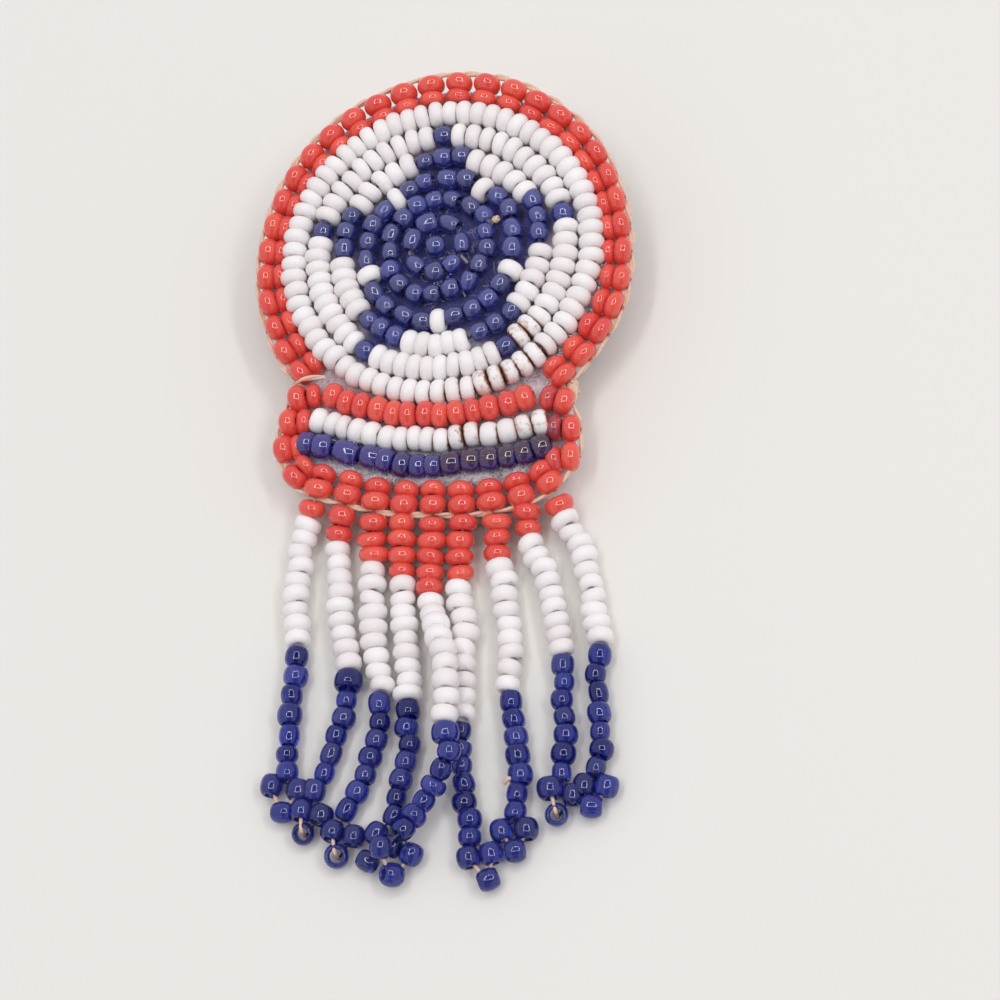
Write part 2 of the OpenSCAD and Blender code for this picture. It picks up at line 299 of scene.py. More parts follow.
# The edging's stitches pinch the felt's rim, from above and inwards.
rim = [v.co.copy() for v in bm.verts if abs(v.normal.z) < RIM_UPRIGHT]
rim_tree = kdtree.KDTree(len(rim))
for i, co in enumerate(rim):
    rim_tree.insert(co, i)
rim_tree.balance()
pinches = [max(0, 1 - rim_tree.find(v.co)[2] / PINCH_REACH) for v in bm.verts]
for v, pinch in zip(bm.verts, pinches):
    outward = Vector((v.normal.x, v.normal.y, 0))
    v.co -= outward * PINCH_IN * (pinch > FULL_PINCH)
    if v.co.z > FELT_TOP / 2:
        v.co.z -= PINCH_DOWN * pinch
for _ in range(SMOOTHING_ROUNDS):
    bmesh.ops.smooth_vert(bm, verts=bm.verts, factor=0.5, use_axis_x=True, use_axis_y=True, use_axis_z=True)
bm.normal_update()
(wide_size, wide_height), (narrow_size, narrow_height) = WIDE_BUMPS, NARROW_BUMPS
# Each point's share of the painted blue shade under the star's beads
dusks = []
for v in bm.verts:
    towards_arm = max(0, math.cos(STAR_ARMS * (math.atan2(v.co.y, v.co.x) - DUSK_ARM_TURN)))
    dusk_reach = DUSK_REACH + DUSK_ARM_REACH * towards_arm ** 2
    inside = max(0, min(1, (dusk_reach - v.co.xy.length) / DUSK_BORDER))
    dusks.append(DUSK * inside * (v.co.z > DUSK_LEVEL))
    bumps = noise.noise(v.co / wide_size) * wide_height + noise.noise(v.co / narrow_size) * narrow_height
    v.co += v.normal * bumps
bmesh.ops.transform(bm, matrix=FELT_PLACE, verts=bm.verts)
bm.to_mesh(felt_mesh)
bm.free()
felt_mesh.attributes.new("painted_shade", "FLOAT", "POINT").data.foreach_set("value", dusks)
piece_of("felt", felt_mesh, wool, "felt", "felt_backing")

# Pin
# A plain bar pin, sewn across the back: pressed and nickel-plated steel, tumbled so that its edges
# are soft. It stays closed.
PIN_EDGE = 0.15 * MM
PIN_EDGE_ANGLE = math.radians(50)

steel = material_of("nickel_plated_steel", Metallic=1.0, Roughness=0.28)
steel_place = node(steel, "ShaderNodeTexCoord").outputs["Object"]
# Handling marks run along the bar, about 0.3 mm apart and 4 mm long.
steel_grain = node(steel, "ShaderNodeMapping", {"Vector": steel_place, "Scale": (0.08, 1, 1)})
marks = node(steel, "ShaderNodeTexNoise", {"Vector": steel_grain.outputs["Vector"], "Scale": 1 / (0.3 * MM)})
steel_tone = node(steel, "ShaderNodeMix", {
    FACTOR: marks.outputs["Fac"],
    COLOUR_A: to_linear("#A9A6A0"),
    COLOUR_B: to_linear("#D2CFC8"),
}, data_type="RGBA")
wire(steel, steel_tone.outputs[COLOUR_OUT], "Base Color")
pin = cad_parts["pin_back"]
pin.data.materials.clear()
pin.data.materials.append(steel)
weld = pin.modifiers.new("weld", "WELD")
weld.merge_threshold = SAME_POINT
soften = pin.modifiers.new("soften", "BEVEL")
soften.width = PIN_EDGE
soften.segments = 2
soften.angle_limit = PIN_EDGE_ANGLE

# Star
# Transparent cobalt glass seed beads, threaded and couched in rings round a middle bead. Drawn
# glass, cut and tumbled while hot: uneven in length and very smooth, with fine dust and a painted sheen on
# their tops.
rng = random.Random(7)
RING_PITCH = 2.2
NAP_HEIGHT = 0.15
BEAD_LEVEL = FELT_TOP + NAP_HEIGHT + RING_PITCH / 2
# By how much beads stray from their ring and their height
BEAD_STRAY = 0.05
ARM_ANGLES = [18, 94, 170, 238, 306]
FIRST_RING_SHIFT = Vector((-0.4, 0.4, 0))
OUTER_RING = 6
# Subdivision rounds a cage of eight sides and leaves this share of its size.
CAGE_SIDES = 8
ROUNDED = (2 + math.sqrt(0.5)) / 3
# How far up its wall from the hole a bead is longest, as a share of the wall
HOLE_LIP = 0.2
# How uneven beads are in girth and in length: the usual spread, the least and the most
GIRTH_SPREAD = (0.025, 0.94, 1.05)
LENGTH_SPREAD = (0.035, 0.9, 1.05)
# The star's beads: their girths, how long one may be, how much of its gap it fills, and how far askew
# those of the first two rings and of the others lie. Some are barrels.
STAR_GIRTHS = (0.89, 1.06)
STAR_LONGEST = 1.15
STAR_GAP_FILL = 0.98
LOOSE_RINGS = 2
LOOSE_WOBBLE = 0.16
STAR_WOBBLE = 0.1
BARREL_SHARE = 0.4
MIDDLE_ALONG = Vector((1, 0.2, 0))
# How dusty the star, its middle bead and the beads at its tips are, which also sets their tops' painted sheen
STAR_DUST_AND_SHEEN = [(0, 0, 24, 0.25)]
MIDDLE_DUST_AND_SHEEN = 0.22
TIP_DUST_AND_SHEEN = 0.2
# The star's beads ring by ring, across and up from the rosette's centre. The first rings are loose
# and lie unevenly, so each bead has its place.
STAR_RINGS = [
    [(-0.5, 0.4)],
    [(1.8, 0.6), (0.6, 2.5), (-1.4, 2.5), (-2.6, 0.9), (-2.1, -1.4), (-0.3, -2.1), (1.1, -1.3)],
    [(4.1, 0.2), (3.8, 1.7), (3.6, 3.2), (2.3, 4.1), (0.6, 4.8), (-1.0, 4.8), (-2.5, 4.2), (-3.6, 3.0),
     (-4.6, 1.5), (-4.5, -0.2), (-4.3, -1.9), (-3.4, -3.2), (-1.9, -4.1), (-0.4, -4.1), (1.2, -3.6),
     (2.7, -2.9), (3.5, -1.4)],
    [(4.6, 5.0), (5.7, 3.8), (6.2, 1.9), (6.3, 0.1), (5.5, -3.2), (4.6, -4.6), (3.3, -5.5), (1.7, -6.1),
     (-1.1, -6.6), (-2.7, -6.1), (-4.4, -5.2), (-5.6, -3.9), (-6.6, -0.9), (-6.6, 0.8), (-6.3, 2.4),
     (-5.4, 3.8), (-3.3, 5.7), (-2.0, 6.5), (0.0, 6.8), (1.7, 6.7)],
    [(7.7, 4.7), (8.3, 3.1), (8.5, 1.6), (6.7, -5.7), (5.4, -6.8), (4.1, -7.6), (-3.3, -8.0),
     (-4.6, -7.3), (-5.8, -6.5), (-8.7, 0.2), (-8.7, 1.8), (-8.3, 3.3), (-2.2, 8.5), (-0.6, 8.9), (1.0, 9.0)],
]


def bead_shape(diameter, length, hole, squareness):
    """The cage of a drilled bead along X, in millimetres, which is longest near its hole. Its wall's
    section is round at squareness 2, and squarer above that."""
    bm = bmesh.new()
    wall = (diameter - hole) / 2
    section = []
    for k in range(CAGE_SIDES):
        turn = math.tau * (k + 0.5) / CAGE_SIDES
        along = math.copysign(abs(math.cos(turn)) ** (2 / squareness), math.cos(turn))
        out = math.copysign(abs(math.sin(turn)) ** (2 / squareness), math.sin(turn))
        out *= 1 - HOLE_LIP if out > 0 else HOLE_LIP
        radius = hole / 2 + wall * (HOLE_LIP + out / ROUNDED)
        section.append(bm.verts.new((along * length / 2 / ROUNDED, 0, radius / ROUNDED)))
    edges = [bm.edges.new((section[k], section[k - 1])) for k in range(CAGE_SIDES)]
    bmesh.ops.spin(
        bm, geom=section + edges, cent=(0, 0, 0), axis=(1, 0, 0), angle=math.tau,
        steps=CAGE_SIDES, use_merge=True,
    )
    bmesh.ops.recalc_face_normals(bm, faces=bm.faces)
    shape = bpy.data.meshes.new("bead_shape")
    bm.to_mesh(shape)
    bm.free()
    shape["length"] = length
    shape["radius"] = diameter / 2
    return shape


def uneven(spread, least, most):
    """How many times its usual size a bead is, since no two are alike."""
    return max(least, min(most, rng.gauss(1, spread)))


def threaded(at, along, girth=1.0, reach=1.0, wobble=0.08):
    """Where a bead sits on its thread: turned to it, with the play that its wide hole gives."""
    turn = along.to_track_quat("X", "Z").to_matrix().to_4x4()
    play = Euler((rng.uniform(0, math.tau), rng.gauss(0, wobble), rng.gauss(0, wobble))).to_matrix().to_4x4()
    size = girth * uneven(*GIRTH_SPREAD)
    stretch = reach * uneven(*LENGTH_SPREAD)
    return Matrix.Translation(at) @ turn @ play @ Matrix.Diagonal((stretch, size, size, 1))


def bead_mesh(name, beads):
    """One mesh of many beads, each a shape, a place in metres and how stained it is, from 0 to 1.
    Each bead carries its own tone, and how near each point is to its ends."""
    bm = bmesh.new()
    tones, stains, ends = [], [], []
    for shape, place, stain in beads:
        start = len(bm.verts)
        bm.from_mesh(shape)
        bm.verts.ensure_lookup_table()
        fresh = bm.verts[start:]
        reach = max(v.co.x for v in fresh)
        ends += [abs(v.co.x) / reach for v in fresh]
        tones += [rng.random()] * len(fresh)
        stains += [stain] * len(fresh)
        bmesh.ops.transform(bm, matrix=place, verts=fresh)
    mesh = bpy.data.meshes.new(name)
    bm.to_mesh(mesh)
    bm.free()
    for attribute, values in (("tone", tones), ("stain", stains), ("end", ends)):
        mesh.attributes.new(attribute, "FLOAT", "POINT").data.foreach_set("value", values)
    return mesh


def beadwork(name, beads, material, slot, *nodes, levels=1):
    """A piece made of beads, rounded by subdivision: once, or twice where they are glossy."""
    piece = piece_of(name, bead_mesh(name, beads), material, slot, *nodes)
    rounding = piece.modifiers.new("rounding", "SUBSURF")
    rounding.levels = levels
    rounding.render_levels = levels
    return piece


def stain_at(stains, across, up):
    """How stained a place on the felt is, from 0 to 1. Each stain is where its middle lies, across and
    up, how far it reaches and how dark it is. It is as dark as that in its inner half, and then fades."""
    return max([0] + [
        strength * min(1, 2 * (1 - math.hypot(across - x, up - y) / reach))
        for x, y, reach, strength in stains
    ])


ring_threads = [[] for _ in range(OUTER_RING + 1)]


def sewn_in_ring(shape, ring, across, up, reach=1.0, stain=0.0, wobble=0.08, girth=1.0):
    """A bead of a ring, by its place on the felt. Its ring's thread goes through it."""
    shift = FIRST_RING_SHIFT * (1 - ring / OUTER_RING)
    at = Vector((across, up, BEAD_LEVEL + rng.gauss(0, BEAD_STRAY)))
    along = Vector((-(up - shift.y), across - shift.x, 0)).normalized()
    ring_threads[ring].append(at)
    return (shape, FELT_PLACE @ threaded(at, along, girth, reach, wobble), stain)


def cobalt_of(name, clear, thin_dust_and_sheen_colour, **constants):
    """Cobalt glass, each bead with its own depth of colour. Clear is how much light goes through where it
    is clean, and thin_dust_and_sheen_colour is the colour of a light dusting and of the painted sheen on
    tops."""
    glass = material_of(name, Roughness=0.05, Coat_Roughness=0.02, **constants)
    place = node(glass, "ShaderNodeTexCoord").outputs["Object"]
    own_tone = node(glass, "ShaderNodeAttribute", attribute_name="tone")
    clean = node(glass, "ShaderNodeMix", {
        FACTOR: own_tone.outputs["Fac"],
        COLOUR_A: to_linear("#242D92"),
        COLOUR_B: to_linear("#3A47BE"),
    }, data_type="RGBA")
    # Where a bead is marked as dusty, its upward-facing surface is lightened by a painted sheen, a painted
    # reflection of the bright sky, and dust lies in soft patches, about 0.5 mm across, with paler specks,
    # about 0.1 mm across. Thick dust is a dark violet, which on the cobalt row is partly a painted
    # reflection of the red edging.
    dust_and_sheen_amount = node(glass, "ShaderNodeAttribute", attribute_name="stain")
    clouds = node(glass, "ShaderNodeTexNoise", {"Vector": place, "Scale": 1 / (0.5 * MM), "Detail": 2.0})
    normal = node(glass, "ShaderNodeNewGeometry").outputs["Normal"]
    facing_up = node(glass, "ShaderNodeSeparateXYZ", {"Vector": normal}).outputs["Z"]
    # The tops' painted sheen: lighter where the surface faces up
    top_sheen = node(glass, "ShaderNodeMapRange", {"Value": facing_up, "From Min": 0.3, "From Max": 1.0})
    dust_and_sheen_lie = node(glass, "ShaderNodeMath", {0: top_sheen.outputs["Result"], 1: clouds.outputs["Fac"]})
    dust_and_sheen = node(glass, "ShaderNodeMath", {
        0: dust_and_sheen_lie.outputs[0], 1: dust_and_sheen_amount.outputs["Fac"],
    }, operation="MULTIPLY")
    dust_thickness = node(glass, "ShaderNodeMapRange", {
        "Value": dust_and_sheen_amount.outputs["Fac"], "From Min": 0.25, "From Max": 0.65,
    })
    dust_and_sheen_colour = node(glass, "ShaderNodeMix", {
        FACTOR: dust_thickness.outputs["Result"],
        COLOUR_A: to_linear(thin_dust_and_sheen_colour),
        COLOUR_B: to_linear("#472B44"),
    }, data_type="RGBA")
    dusted_and_sheened = node(glass, "ShaderNodeMix", {
        FACTOR: dust_and_sheen.outputs[0],
        COLOUR_A: clean.outputs[COLOUR_OUT],
        COLOUR_B: dust_and_sheen_colour.outputs[COLOUR_OUT],
    }, data_type="RGBA")
    specks = node(glass, "ShaderNodeTexNoise", {"Vector": place, "Scale": 1 / (0.1 * MM), "Detail": 2.0})
    in_speck = node(glass, "ShaderNodeMapRange", {
        "Value": specks.outputs["Fac"], "From Min": 0.62, "From Max": 0.72,
    })
    speck_share = node(glass, "ShaderNodeMath", {
        0: in_speck.outputs["Result"], 1: dust_and_sheen_amount.outputs["Fac"],
    }, operation="MULTIPLY")
    speckled = node(glass, "ShaderNodeMix", {
        FACTOR: speck_share.outputs[0],
        COLOUR_A: dusted_and_sheened.outputs[COLOUR_OUT],
        COLOUR_B: to_linear("#A596AC"),
    }, data_type="RGBA")
    wire(glass, speckled.outputs[COLOUR_OUT], "Base Color")
    clearness = node(glass, "ShaderNodeMapRange", {"Value": dust_and_sheen.outputs[0], "To Min": clear, "To Max": 0.1})
    wire(glass, clearness.outputs["Result"], "Transmission Weight")
    return glass


cobalt = cobalt_of(
    "cobalt_glass", clear=0.75, thin_dust_and_sheen_colour="#9496C0", IOR=1.6, Coat_Weight=0.6,
    Sheen_Weight=0.1, Sheen_Roughness=0.3, Sheen_Tint=to_linear("#B3ABCB"),
)
round_cobalt = bead_shape(diameter=1.88, length=1.6, hole=0.75, squareness=1.9)
barrel_cobalt = bead_shape(diameter=1.84, length=1.6, hole=0.75, squareness=2.3)

middle = Vector((*STAR_RINGS[0][0], BEAD_LEVEL))
star = [(round_cobalt, FELT_PLACE @ threaded(middle, MIDDLE_ALONG), MIDDLE_DUST_AND_SHEEN)]
for ring, places in enumerate(STAR_RINGS[1:], 1):
    for k, (across, up) in enumerate(places):
        gaps = [math.hypot(across - x, up - y) for x, y in (places[k - 1], places[(k + 1) % len(places)])]
        reach = min(STAR_LONGEST, STAR_GAP_FILL * min(gaps) / round_cobalt["length"])
        wobble = LOOSE_WOBBLE if ring <= LOOSE_RINGS else STAR_WOBBLE
        shape = barrel_cobalt if rng.random() < BARREL_SHARE else round_cobalt
        dust_and_sheen_here = stain_at(STAR_DUST_AND_SHEEN, across, up)
        girth = rng.uniform(*STAR_GIRTHS)
        star.append(sewn_in_ring(shape, ring, across, up, reach, dust_and_sheen_here, wobble, girth))
for angle in ARM_ANGLES:
    a = math.radians(angle)
    ring = OUTER_RING - 1
    out = ring * RING_PITCH
    star.append(sewn_in_ring(round_cobalt, ring, out * math.cos(a), out * math.sin(a), stain=TIP_DUST_AND_SHEEN))
beadwork("star_beads", star, cobalt, "navy_glass", "star", levels=2)

# Star's ground and outer ring
# Chalk-white glass seed beads, opaque and satin, packed tight on their rings. Years of handling
# have left thin brown dirt between some of them, low on the right.

# On the third ring one white bead, a little longer than the others, lies in each valley of the star.
VALLEY_RING = 3
VALLEY_ANGLES = [60, 132, 201, 273, 343]
VALLEY_REACH = 1.05
# The next rings: the ring's number, how many cobalt beads an arm takes there, how many white ones lie
# between two arms, and their length as a share of the usual one
GROUND_RINGS = [(4, 3, 5, 1.0), (5, 1, 10, 0.96)]
# The room that one cobalt bead takes there
NAVY_PITCH = 1.6
OUTER_RING_BEADS = 65
WHITE_WOBBLE = 0.07
BROWN_STAINS = [
    (7.4, -7.8, 2.4, 1.0),
    (5.3, -9.7, 1.6, 0.85),
    (8.1, -10.4, 2.2, 0.95),
    (9.6, -9.2, 1.6, 0.85),
    (2.6, -12.9, 1.6, 0.85),
    (4.6, -12.4, 1.8, 1.0),
    (6.2, -11.8, 1.9, 1.0),
    (1.3, -17.4, 1.0, 0.8),
    (2.6, -17.5, 1.3, 1.0),
    (4.3, -17.3, 1.3, 0.95),
    (6.0, -17.0, 1.2, 0.8),
    (8.7, -16.4, 1.2, 1.0),
    (10.1, -15.9, 1.2, 1.0),
]

chalk = material_of(
    "chalk_white_glass", Roughness=0.42, IOR=1.5, Subsurface_Weight=0.2,
    Subsurface_Radius=(1.0, 0.95, 0.9), Subsurface_Scale=0.5 * MM,
)
chalk_place = node(chalk, "ShaderNodeTexCoord").outputs["Object"]
chalk_tone = node(chalk, "ShaderNodeAttribute", attribute_name="tone")
chalk_colour = node(chalk, "ShaderNodeMix", {
    FACTOR: chalk_tone.outputs["Fac"],
    COLOUR_A: to_linear("#F6F2F2"),
    COLOUR_B: to_linear("#EDE6E6"),
}, data_type="RGBA")
# Dirt makes a bead's ends tan, in soft patches about 0.8 mm across. It fills the crevices there, and
# leaves a few dark blots, about 0.35 mm across.
chalk_stain = node(chalk, "ShaderNodeAttribute", attribute_name="stain")
chalk_end = node(chalk, "ShaderNodeAttribute", attribute_name="end")
smears = node(chalk, "ShaderNodeTexNoise", {"Vector": chalk_place, "Scale": 1 / (0.8 * MM), "Detail": 2.0})
near_end = node(chalk, "ShaderNodeMath", {0: chalk_end.outputs["Fac"], 1: 2.0}, operation="POWER")
smear_depth = node(chalk, "ShaderNodeMath", {
    0: near_end.outputs[0], 1: 0.35, 2: smears.outputs["Fac"],
}, operation="MULTIPLY_ADD")
smear_amount = node(chalk, "ShaderNodeMath", {
    0: smear_depth.outputs[0], 1: chalk_stain.outputs["Fac"],
}, operation="MULTIPLY")
smear = node(chalk, "ShaderNodeMapRange", {
    "Value": smear_amount.outputs[0], "From Min": 0.62, "From Max": 0.92, "To Max": 0.75,
})
chalk_smeared = node(chalk, "ShaderNodeMix", {
    FACTOR: smear.outputs["Result"],
    COLOUR_A: chalk_colour.outputs[COLOUR_OUT],
    COLOUR_B: to_linear("#B98A74"),
}, data_type="RGBA")
patches = node(chalk, "ShaderNodeTexNoise", {"Vector": chalk_place, "Scale": 1 / (0.35 * MM), "Detail": 4.0})
crevice = node(chalk, "ShaderNodeMath", {0: chalk_end.outputs["Fac"], 1: 5.0}, operation="POWER")
dirt_depth = node(chalk, "ShaderNodeMath", {
    0: crevice.outputs[0], 1: 0.5, 2: patches.outputs["Fac"],
}, operation="MULTIPLY_ADD")
dirt_amount = node(chalk, "ShaderNodeMath", {
    0: dirt_depth.outputs[0], 1: chalk_stain.outputs["Fac"],
}, operation="MULTIPLY")
dirt = node(chalk, "ShaderNodeMapRange", {"Value": dirt_amount.outputs[0], "From Min": 0.6, "From Max": 0.85})
chalk_dirty = node(chalk, "ShaderNodeMix", {
    FACTOR: dirt.outputs["Result"],
    COLOUR_A: chalk_smeared.outputs[COLOUR_OUT],
    COLOUR_B: to_linear("#89573F"),
}, data_type="RGBA")
wire(chalk, chalk_dirty.outputs[COLOUR_OUT], "Base Color")
chalk_bead = bead_shape(diameter=2.28, length=1.26, hole=0.5, squareness=2.6)


def spread(start, end, count):
    """Angles of beads that fill an arc evenly."""
    step = (end - start) / count
    return [start + step * (k + 0.5) for k in range(count)]


def degrees_of(length, ring):
    """The angle that a length takes on a ring."""
    return math.degrees(length / (ring * RING_PITCH))


def white_in_ring(ring, angle, reach=1.0):
    """A white bead by its angle round its ring."""
    out = ring * RING_PITCH + rng.gauss(0, BEAD_STRAY)
    across, up = out * math.cos(math.radians(angle)), out * math.sin(math.radians(angle))
    stain = stain_at(BROWN_STAINS, across, up)
    return sewn_in_ring(chalk_bead, ring, across, up, reach, stain, WHITE_WOBBLE)


ground = [white_in_ring(VALLEY_RING, angle, VALLEY_REACH) for angle in VALLEY_ANGLES]
for arm, next_arm in zip(ARM_ANGLES, ARM_ANGLES[1:] + [ARM_ANGLES[0] + 360]):
    for ring, arm_beads, white_beads, reach in GROUND_RINGS:
        edge = degrees_of(arm_beads / 2 * NAVY_PITCH, ring)
        for angle in spread(arm + edge, next_arm - edge, white_beads):
            ground.append(white_in_ring(ring, angle, reach))
beadwork("star_ground_beads", ground, chalk, "white_glass", "star_ground")
outer_ring = [white_in_ring(OUTER_RING, angle) for angle in spread(0, 360, OUTER_RING_BEADS)]
beadwork("outer_ring_seed_beads", outer_ring, chalk, "white_glass", "outer_ring_beads")

# Edging
# Opaque coral-red glass seed beads, larger and glossier, sewn two to a stitch over the felt's
# edge. The outer bead of each pair tips down over it. At the right notch some are dark with dirt.
RED_STAINS = [
    (10.5, -11.1, 0.9, 0.5),
    (10.6, -13.6, 0.9, 0.6),
    (11.3, -16.2, 0.9, 1.0),
    (11.6, -18.6, 0.7, 0.5),
    (8.6, -13.7, 0.8, 0.3),
]
# The angle of the rosette's first pair, at the right notch, and from each pair to the next, in degrees
ROSETTE_PAIR_FROM = -44.7
ROSETTE_PAIR_STEP = 8.96
# The inner beads: how far inside the outer ones they sit, the nearest that they come to the centre,
# how much they rise outwards, and how small they are
PAIR_PITCH = 1.3
INNERMOST = 14.65
INNER_RISE = 0.15
INNER_GIRTH = 0.93
INNER_LENGTH = 0.92
PAIR_WOBBLE = 0.05
# The outer beads: their length, how far they tip over the edge and how that changes round the
# rosette, in radians, and how far past their middle the end of their hole and the edge thread are
PAIR_LENGTH = 1.1
PAIR_TIP = 0.08
TIP_CHANGE = 0.13
TIP_TURN = 1.1
HOLE_END = 0.5
EDGE_THREAD_AT = 0.84
# On the rosette's right, and most of all at this angle below its middle, they are shorter, and the
# thread and the inner beads lie closer to them.
RIGHT_TURN = 0.3
RIGHT_SHORTER = 0.14
RIGHT_THREAD_IN = 0.09
RIGHT_PITCH_LESS = 0.13
LOBE_TIP = 0.16
LOBE_THREAD_AT = 0.77
# How far out each pair's outer bead sits, from the right notch round to the left one
ROSETTE_PAIRS = [
    16.2, 16.2, 16.2, 16.25, 16.1, 15.85, 15.75, 15.75, 15.8, 15.95, 16.05, 16.05, 16.2, 16.4, 16.45, 16.45,
    16.4, 16.2, 16.1, 16.1, 15.95, 15.9, 15.85, 15.8, 15.7, 15.75, 15.8, 15.9, 15.95, 16.15, 16.1,
]
# The lobe's pairs, from the left notch round to the right one: outer bead, then inner bead
LOBE_PAIRS = [
    ((-11.5, -13.7), (-10.1, -13.4)),
    ((-12.0, -15.9), (-10.7, -15.8)),
    ((-12.2, -18.3), (-11.0, -18.1)),
    ((-11.0, -20.8), (-10.2, -19.8)),
    ((-8.8, -21.8), (-8.5, -20.5)),
    ((-6.2, -22.3), (-6.0, -21.0)),
    ((-3.7, -22.9), (-3.6, -21.6)),
    ((-1.2, -23.1), (-1.1, -21.8)),
    ((1.3, -23.1), (1.2, -21.8)),
    ((3.8, -23.1), (3.6, -21.8)),
    ((6.3, -22.8), (6.0, -21.6)),
    ((8.8, -22.2), (8.3, -21.0)),
    ((11.1, -21.0), (10.3, -20.0)),
    ((12.7, -18.7), (11.4, -18.9)),
    ((12.6, -16.2), (11.2, -16.1)),
    ((11.8, -13.8), (10.5, -13.5)),
]
# How high the outer and inner beads lie, on the rosette and then on the lobe
OUTER_LEVEL = FELT_TOP + 0.75
INNER_LEVEL = FELT_TOP + 0.55
LOBE_LEVEL = FELT_TOP + 0.95
LOBE_INNER_LEVEL = LOBE_LEVEL - 0.1

coral = material_of(
    "coral_red_glass", IOR=1.55, Roughness=0.06, Coat_Weight=0.45, Coat_Roughness=0.02,
    Subsurface_Weight=0.15, Subsurface_Radius=(1.0, 0.25, 0.15), Subsurface_Scale=0.5 * MM,
    Sheen_Weight=0.15, Sheen_Roughness=0.5, Sheen_Tint=to_linear("#F0A0A0"),
)
coral_place = node(coral, "ShaderNodeTexCoord").outputs["Object"]
coral_tone = node(coral, "ShaderNodeAttribute", attribute_name="tone")
coral_colour = node(coral, "ShaderNodeMix", {
    FACTOR: coral_tone.outputs["Fac"],
    COLOUR_A: to_linear("#E04840"),
    COLOUR_B: to_linear("#EB5848"),
}, data_type="RGBA")
# Dirt makes a bead a dull dark red, in patches about 0.6 mm across.
coral_stain = node(coral, "ShaderNodeAttribute", attribute_name="stain")
coral_patches = node(coral, "ShaderNodeTexNoise", {
    "Vector": coral_place, "Scale": 1 / (0.6 * MM), "Detail": 3.0,
})
coral_dirt = node(coral, "ShaderNodeMath", {
    0: coral_patches.outputs["Fac"], 1: coral_stain.outputs["Fac"],
}, operation="MULTIPLY")
coral_grime = node(coral, "ShaderNodeMapRange", {
    "Value": coral_dirt.outputs[0], "From Min": 0.15, "From Max": 0.6,
})
coral_dirty = node(coral, "ShaderNodeMix", {
    FACTOR: coral_grime.outputs["Result"],
    COLOUR_A: coral_colour.outputs[COLOUR_OUT],
    COLOUR_B: to_linear("#94404E"),
}, data_type="RGBA")
wire(coral, coral_dirty.outputs[COLOUR_OUT], "Base Color")
coral_bead = bead_shape(diameter=2.46, length=1.42, hole=0.45, squareness=2.2)
edge_stops = []


def sewn_pair(outer, inner, tip, thread_at, length):
    """Two beads on one stitch across the edge, the outer one tipped down. A little way past it, the
    stitch holds the edge thread, and that is one of the edge thread's stops."""
    outer, inner = Vector(outer), Vector(inner)
    level = Vector((outer.x - inner.x, outer.y - inner.y, 0)).normalized()
    down = (level * math.cos(tip) - Vector((0, 0, math.sin(tip)))).normalized()
    rise = (level + Vector((0, 0, INNER_RISE))).normalized()
    edge_stops.append((outer + down * thread_at, outer + down * HOLE_END, level))
    pair = []
    for at, along, girth, reach in [(outer, down, 1.0, length), (inner, rise, INNER_GIRTH, INNER_LENGTH)]:
        place = FELT_PLACE @ threaded(at, along, girth, reach, PAIR_WOBBLE)
        pair.append((coral_bead, place, stain_at(RED_STAINS, *at.xy)))
    return pair


edging = []
for i, reach in enumerate(ROSETTE_PAIRS):
    a = math.radians(ROSETTE_PAIR_FROM + ROSETTE_PAIR_STEP * i)
    out = Vector((math.cos(a), math.sin(a), 0))
    right = max(0, math.cos(a + RIGHT_TURN))
    inner_reach = max(INNERMOST, reach - PAIR_PITCH + RIGHT_PITCH_LESS * right)
    edging += sewn_pair(
        outer=out * reach + Vector((0, 0, OUTER_LEVEL)),
        inner=out * inner_reach + Vector((0, 0, INNER_LEVEL)),
        tip=PAIR_TIP + TIP_CHANGE * math.cos(a + TIP_TURN),
        thread_at=EDGE_THREAD_AT - RIGHT_THREAD_IN * right,
        length=PAIR_LENGTH - RIGHT_SHORTER * right,
    )
for outer, inner in LOBE_PAIRS:
    edging += sewn_pair(
        (*outer, LOBE_LEVEL), (*inner, LOBE_INNER_LEVEL), LOBE_TIP, LOBE_THREAD_AT, PAIR_LENGTH
    )
beadwork("edging_beads", edging, coral, "red_glass", "edging_pairs", levels=2)

# Lobe rows
# A row of red, one of white and one of cobalt beads, couched across the lobe so that each sags a
# little. The cobalt row is dusty with lint from the felt, most of all on the right, with a painted sheen on
# the beads' tops and a violet that is partly a painted reflection of the red edging.
LINT_DUST_AND_SHEEN = [(7.5, -19, 8.5, 0.8), (-6, -19, 9, 0.3)]
# Where each bead lies, across and up from the rosette's centre, from the left
RED_ROW = [
    (-8.3, -13.5), (-7.0, -14.1), (-5.7, -14.4), (-4.2, -14.7), (-2.8, -15.1), (-1.5, -15.2), (0.0, -15.1),
    (1.3, -15.2), (2.7, -15.0), (4.1, -14.8), (5.5, -14.5), (7.1, -14.1), (8.5, -13.6),
]
WHITE_ROW = [
    (-9.3, -15.8), (-8.0, -16.1), (-7.0, -16.4), (-5.8, -16.7), (-4.5, -17.0), (-3.1, -17.3), (-1.9, -17.4),
    (-0.7, -17.3), (0.4, -17.4), (1.6, -17.5), (2.9, -17.2), (4.2, -16.9), (5.7, -16.9), (7.2, -16.6),
    (8.6, -16.2), (10.0, -15.8),
]
COBALT_ROW = [
    (-10.2, -17.9), (-8.75, -18.15), (-6.6, -18.65), (-4.35, -19.05), (-3.1, -19.35), (-1.6, -19.7),
    (-0.2, -19.8), (1.1, -19.75), (2.6, -19.5), (4.3, -19.25), (5.9, -19.1), (7.45, -18.85), (8.8, -18.5),
    (10.3, -17.95),
]
row_threads = []


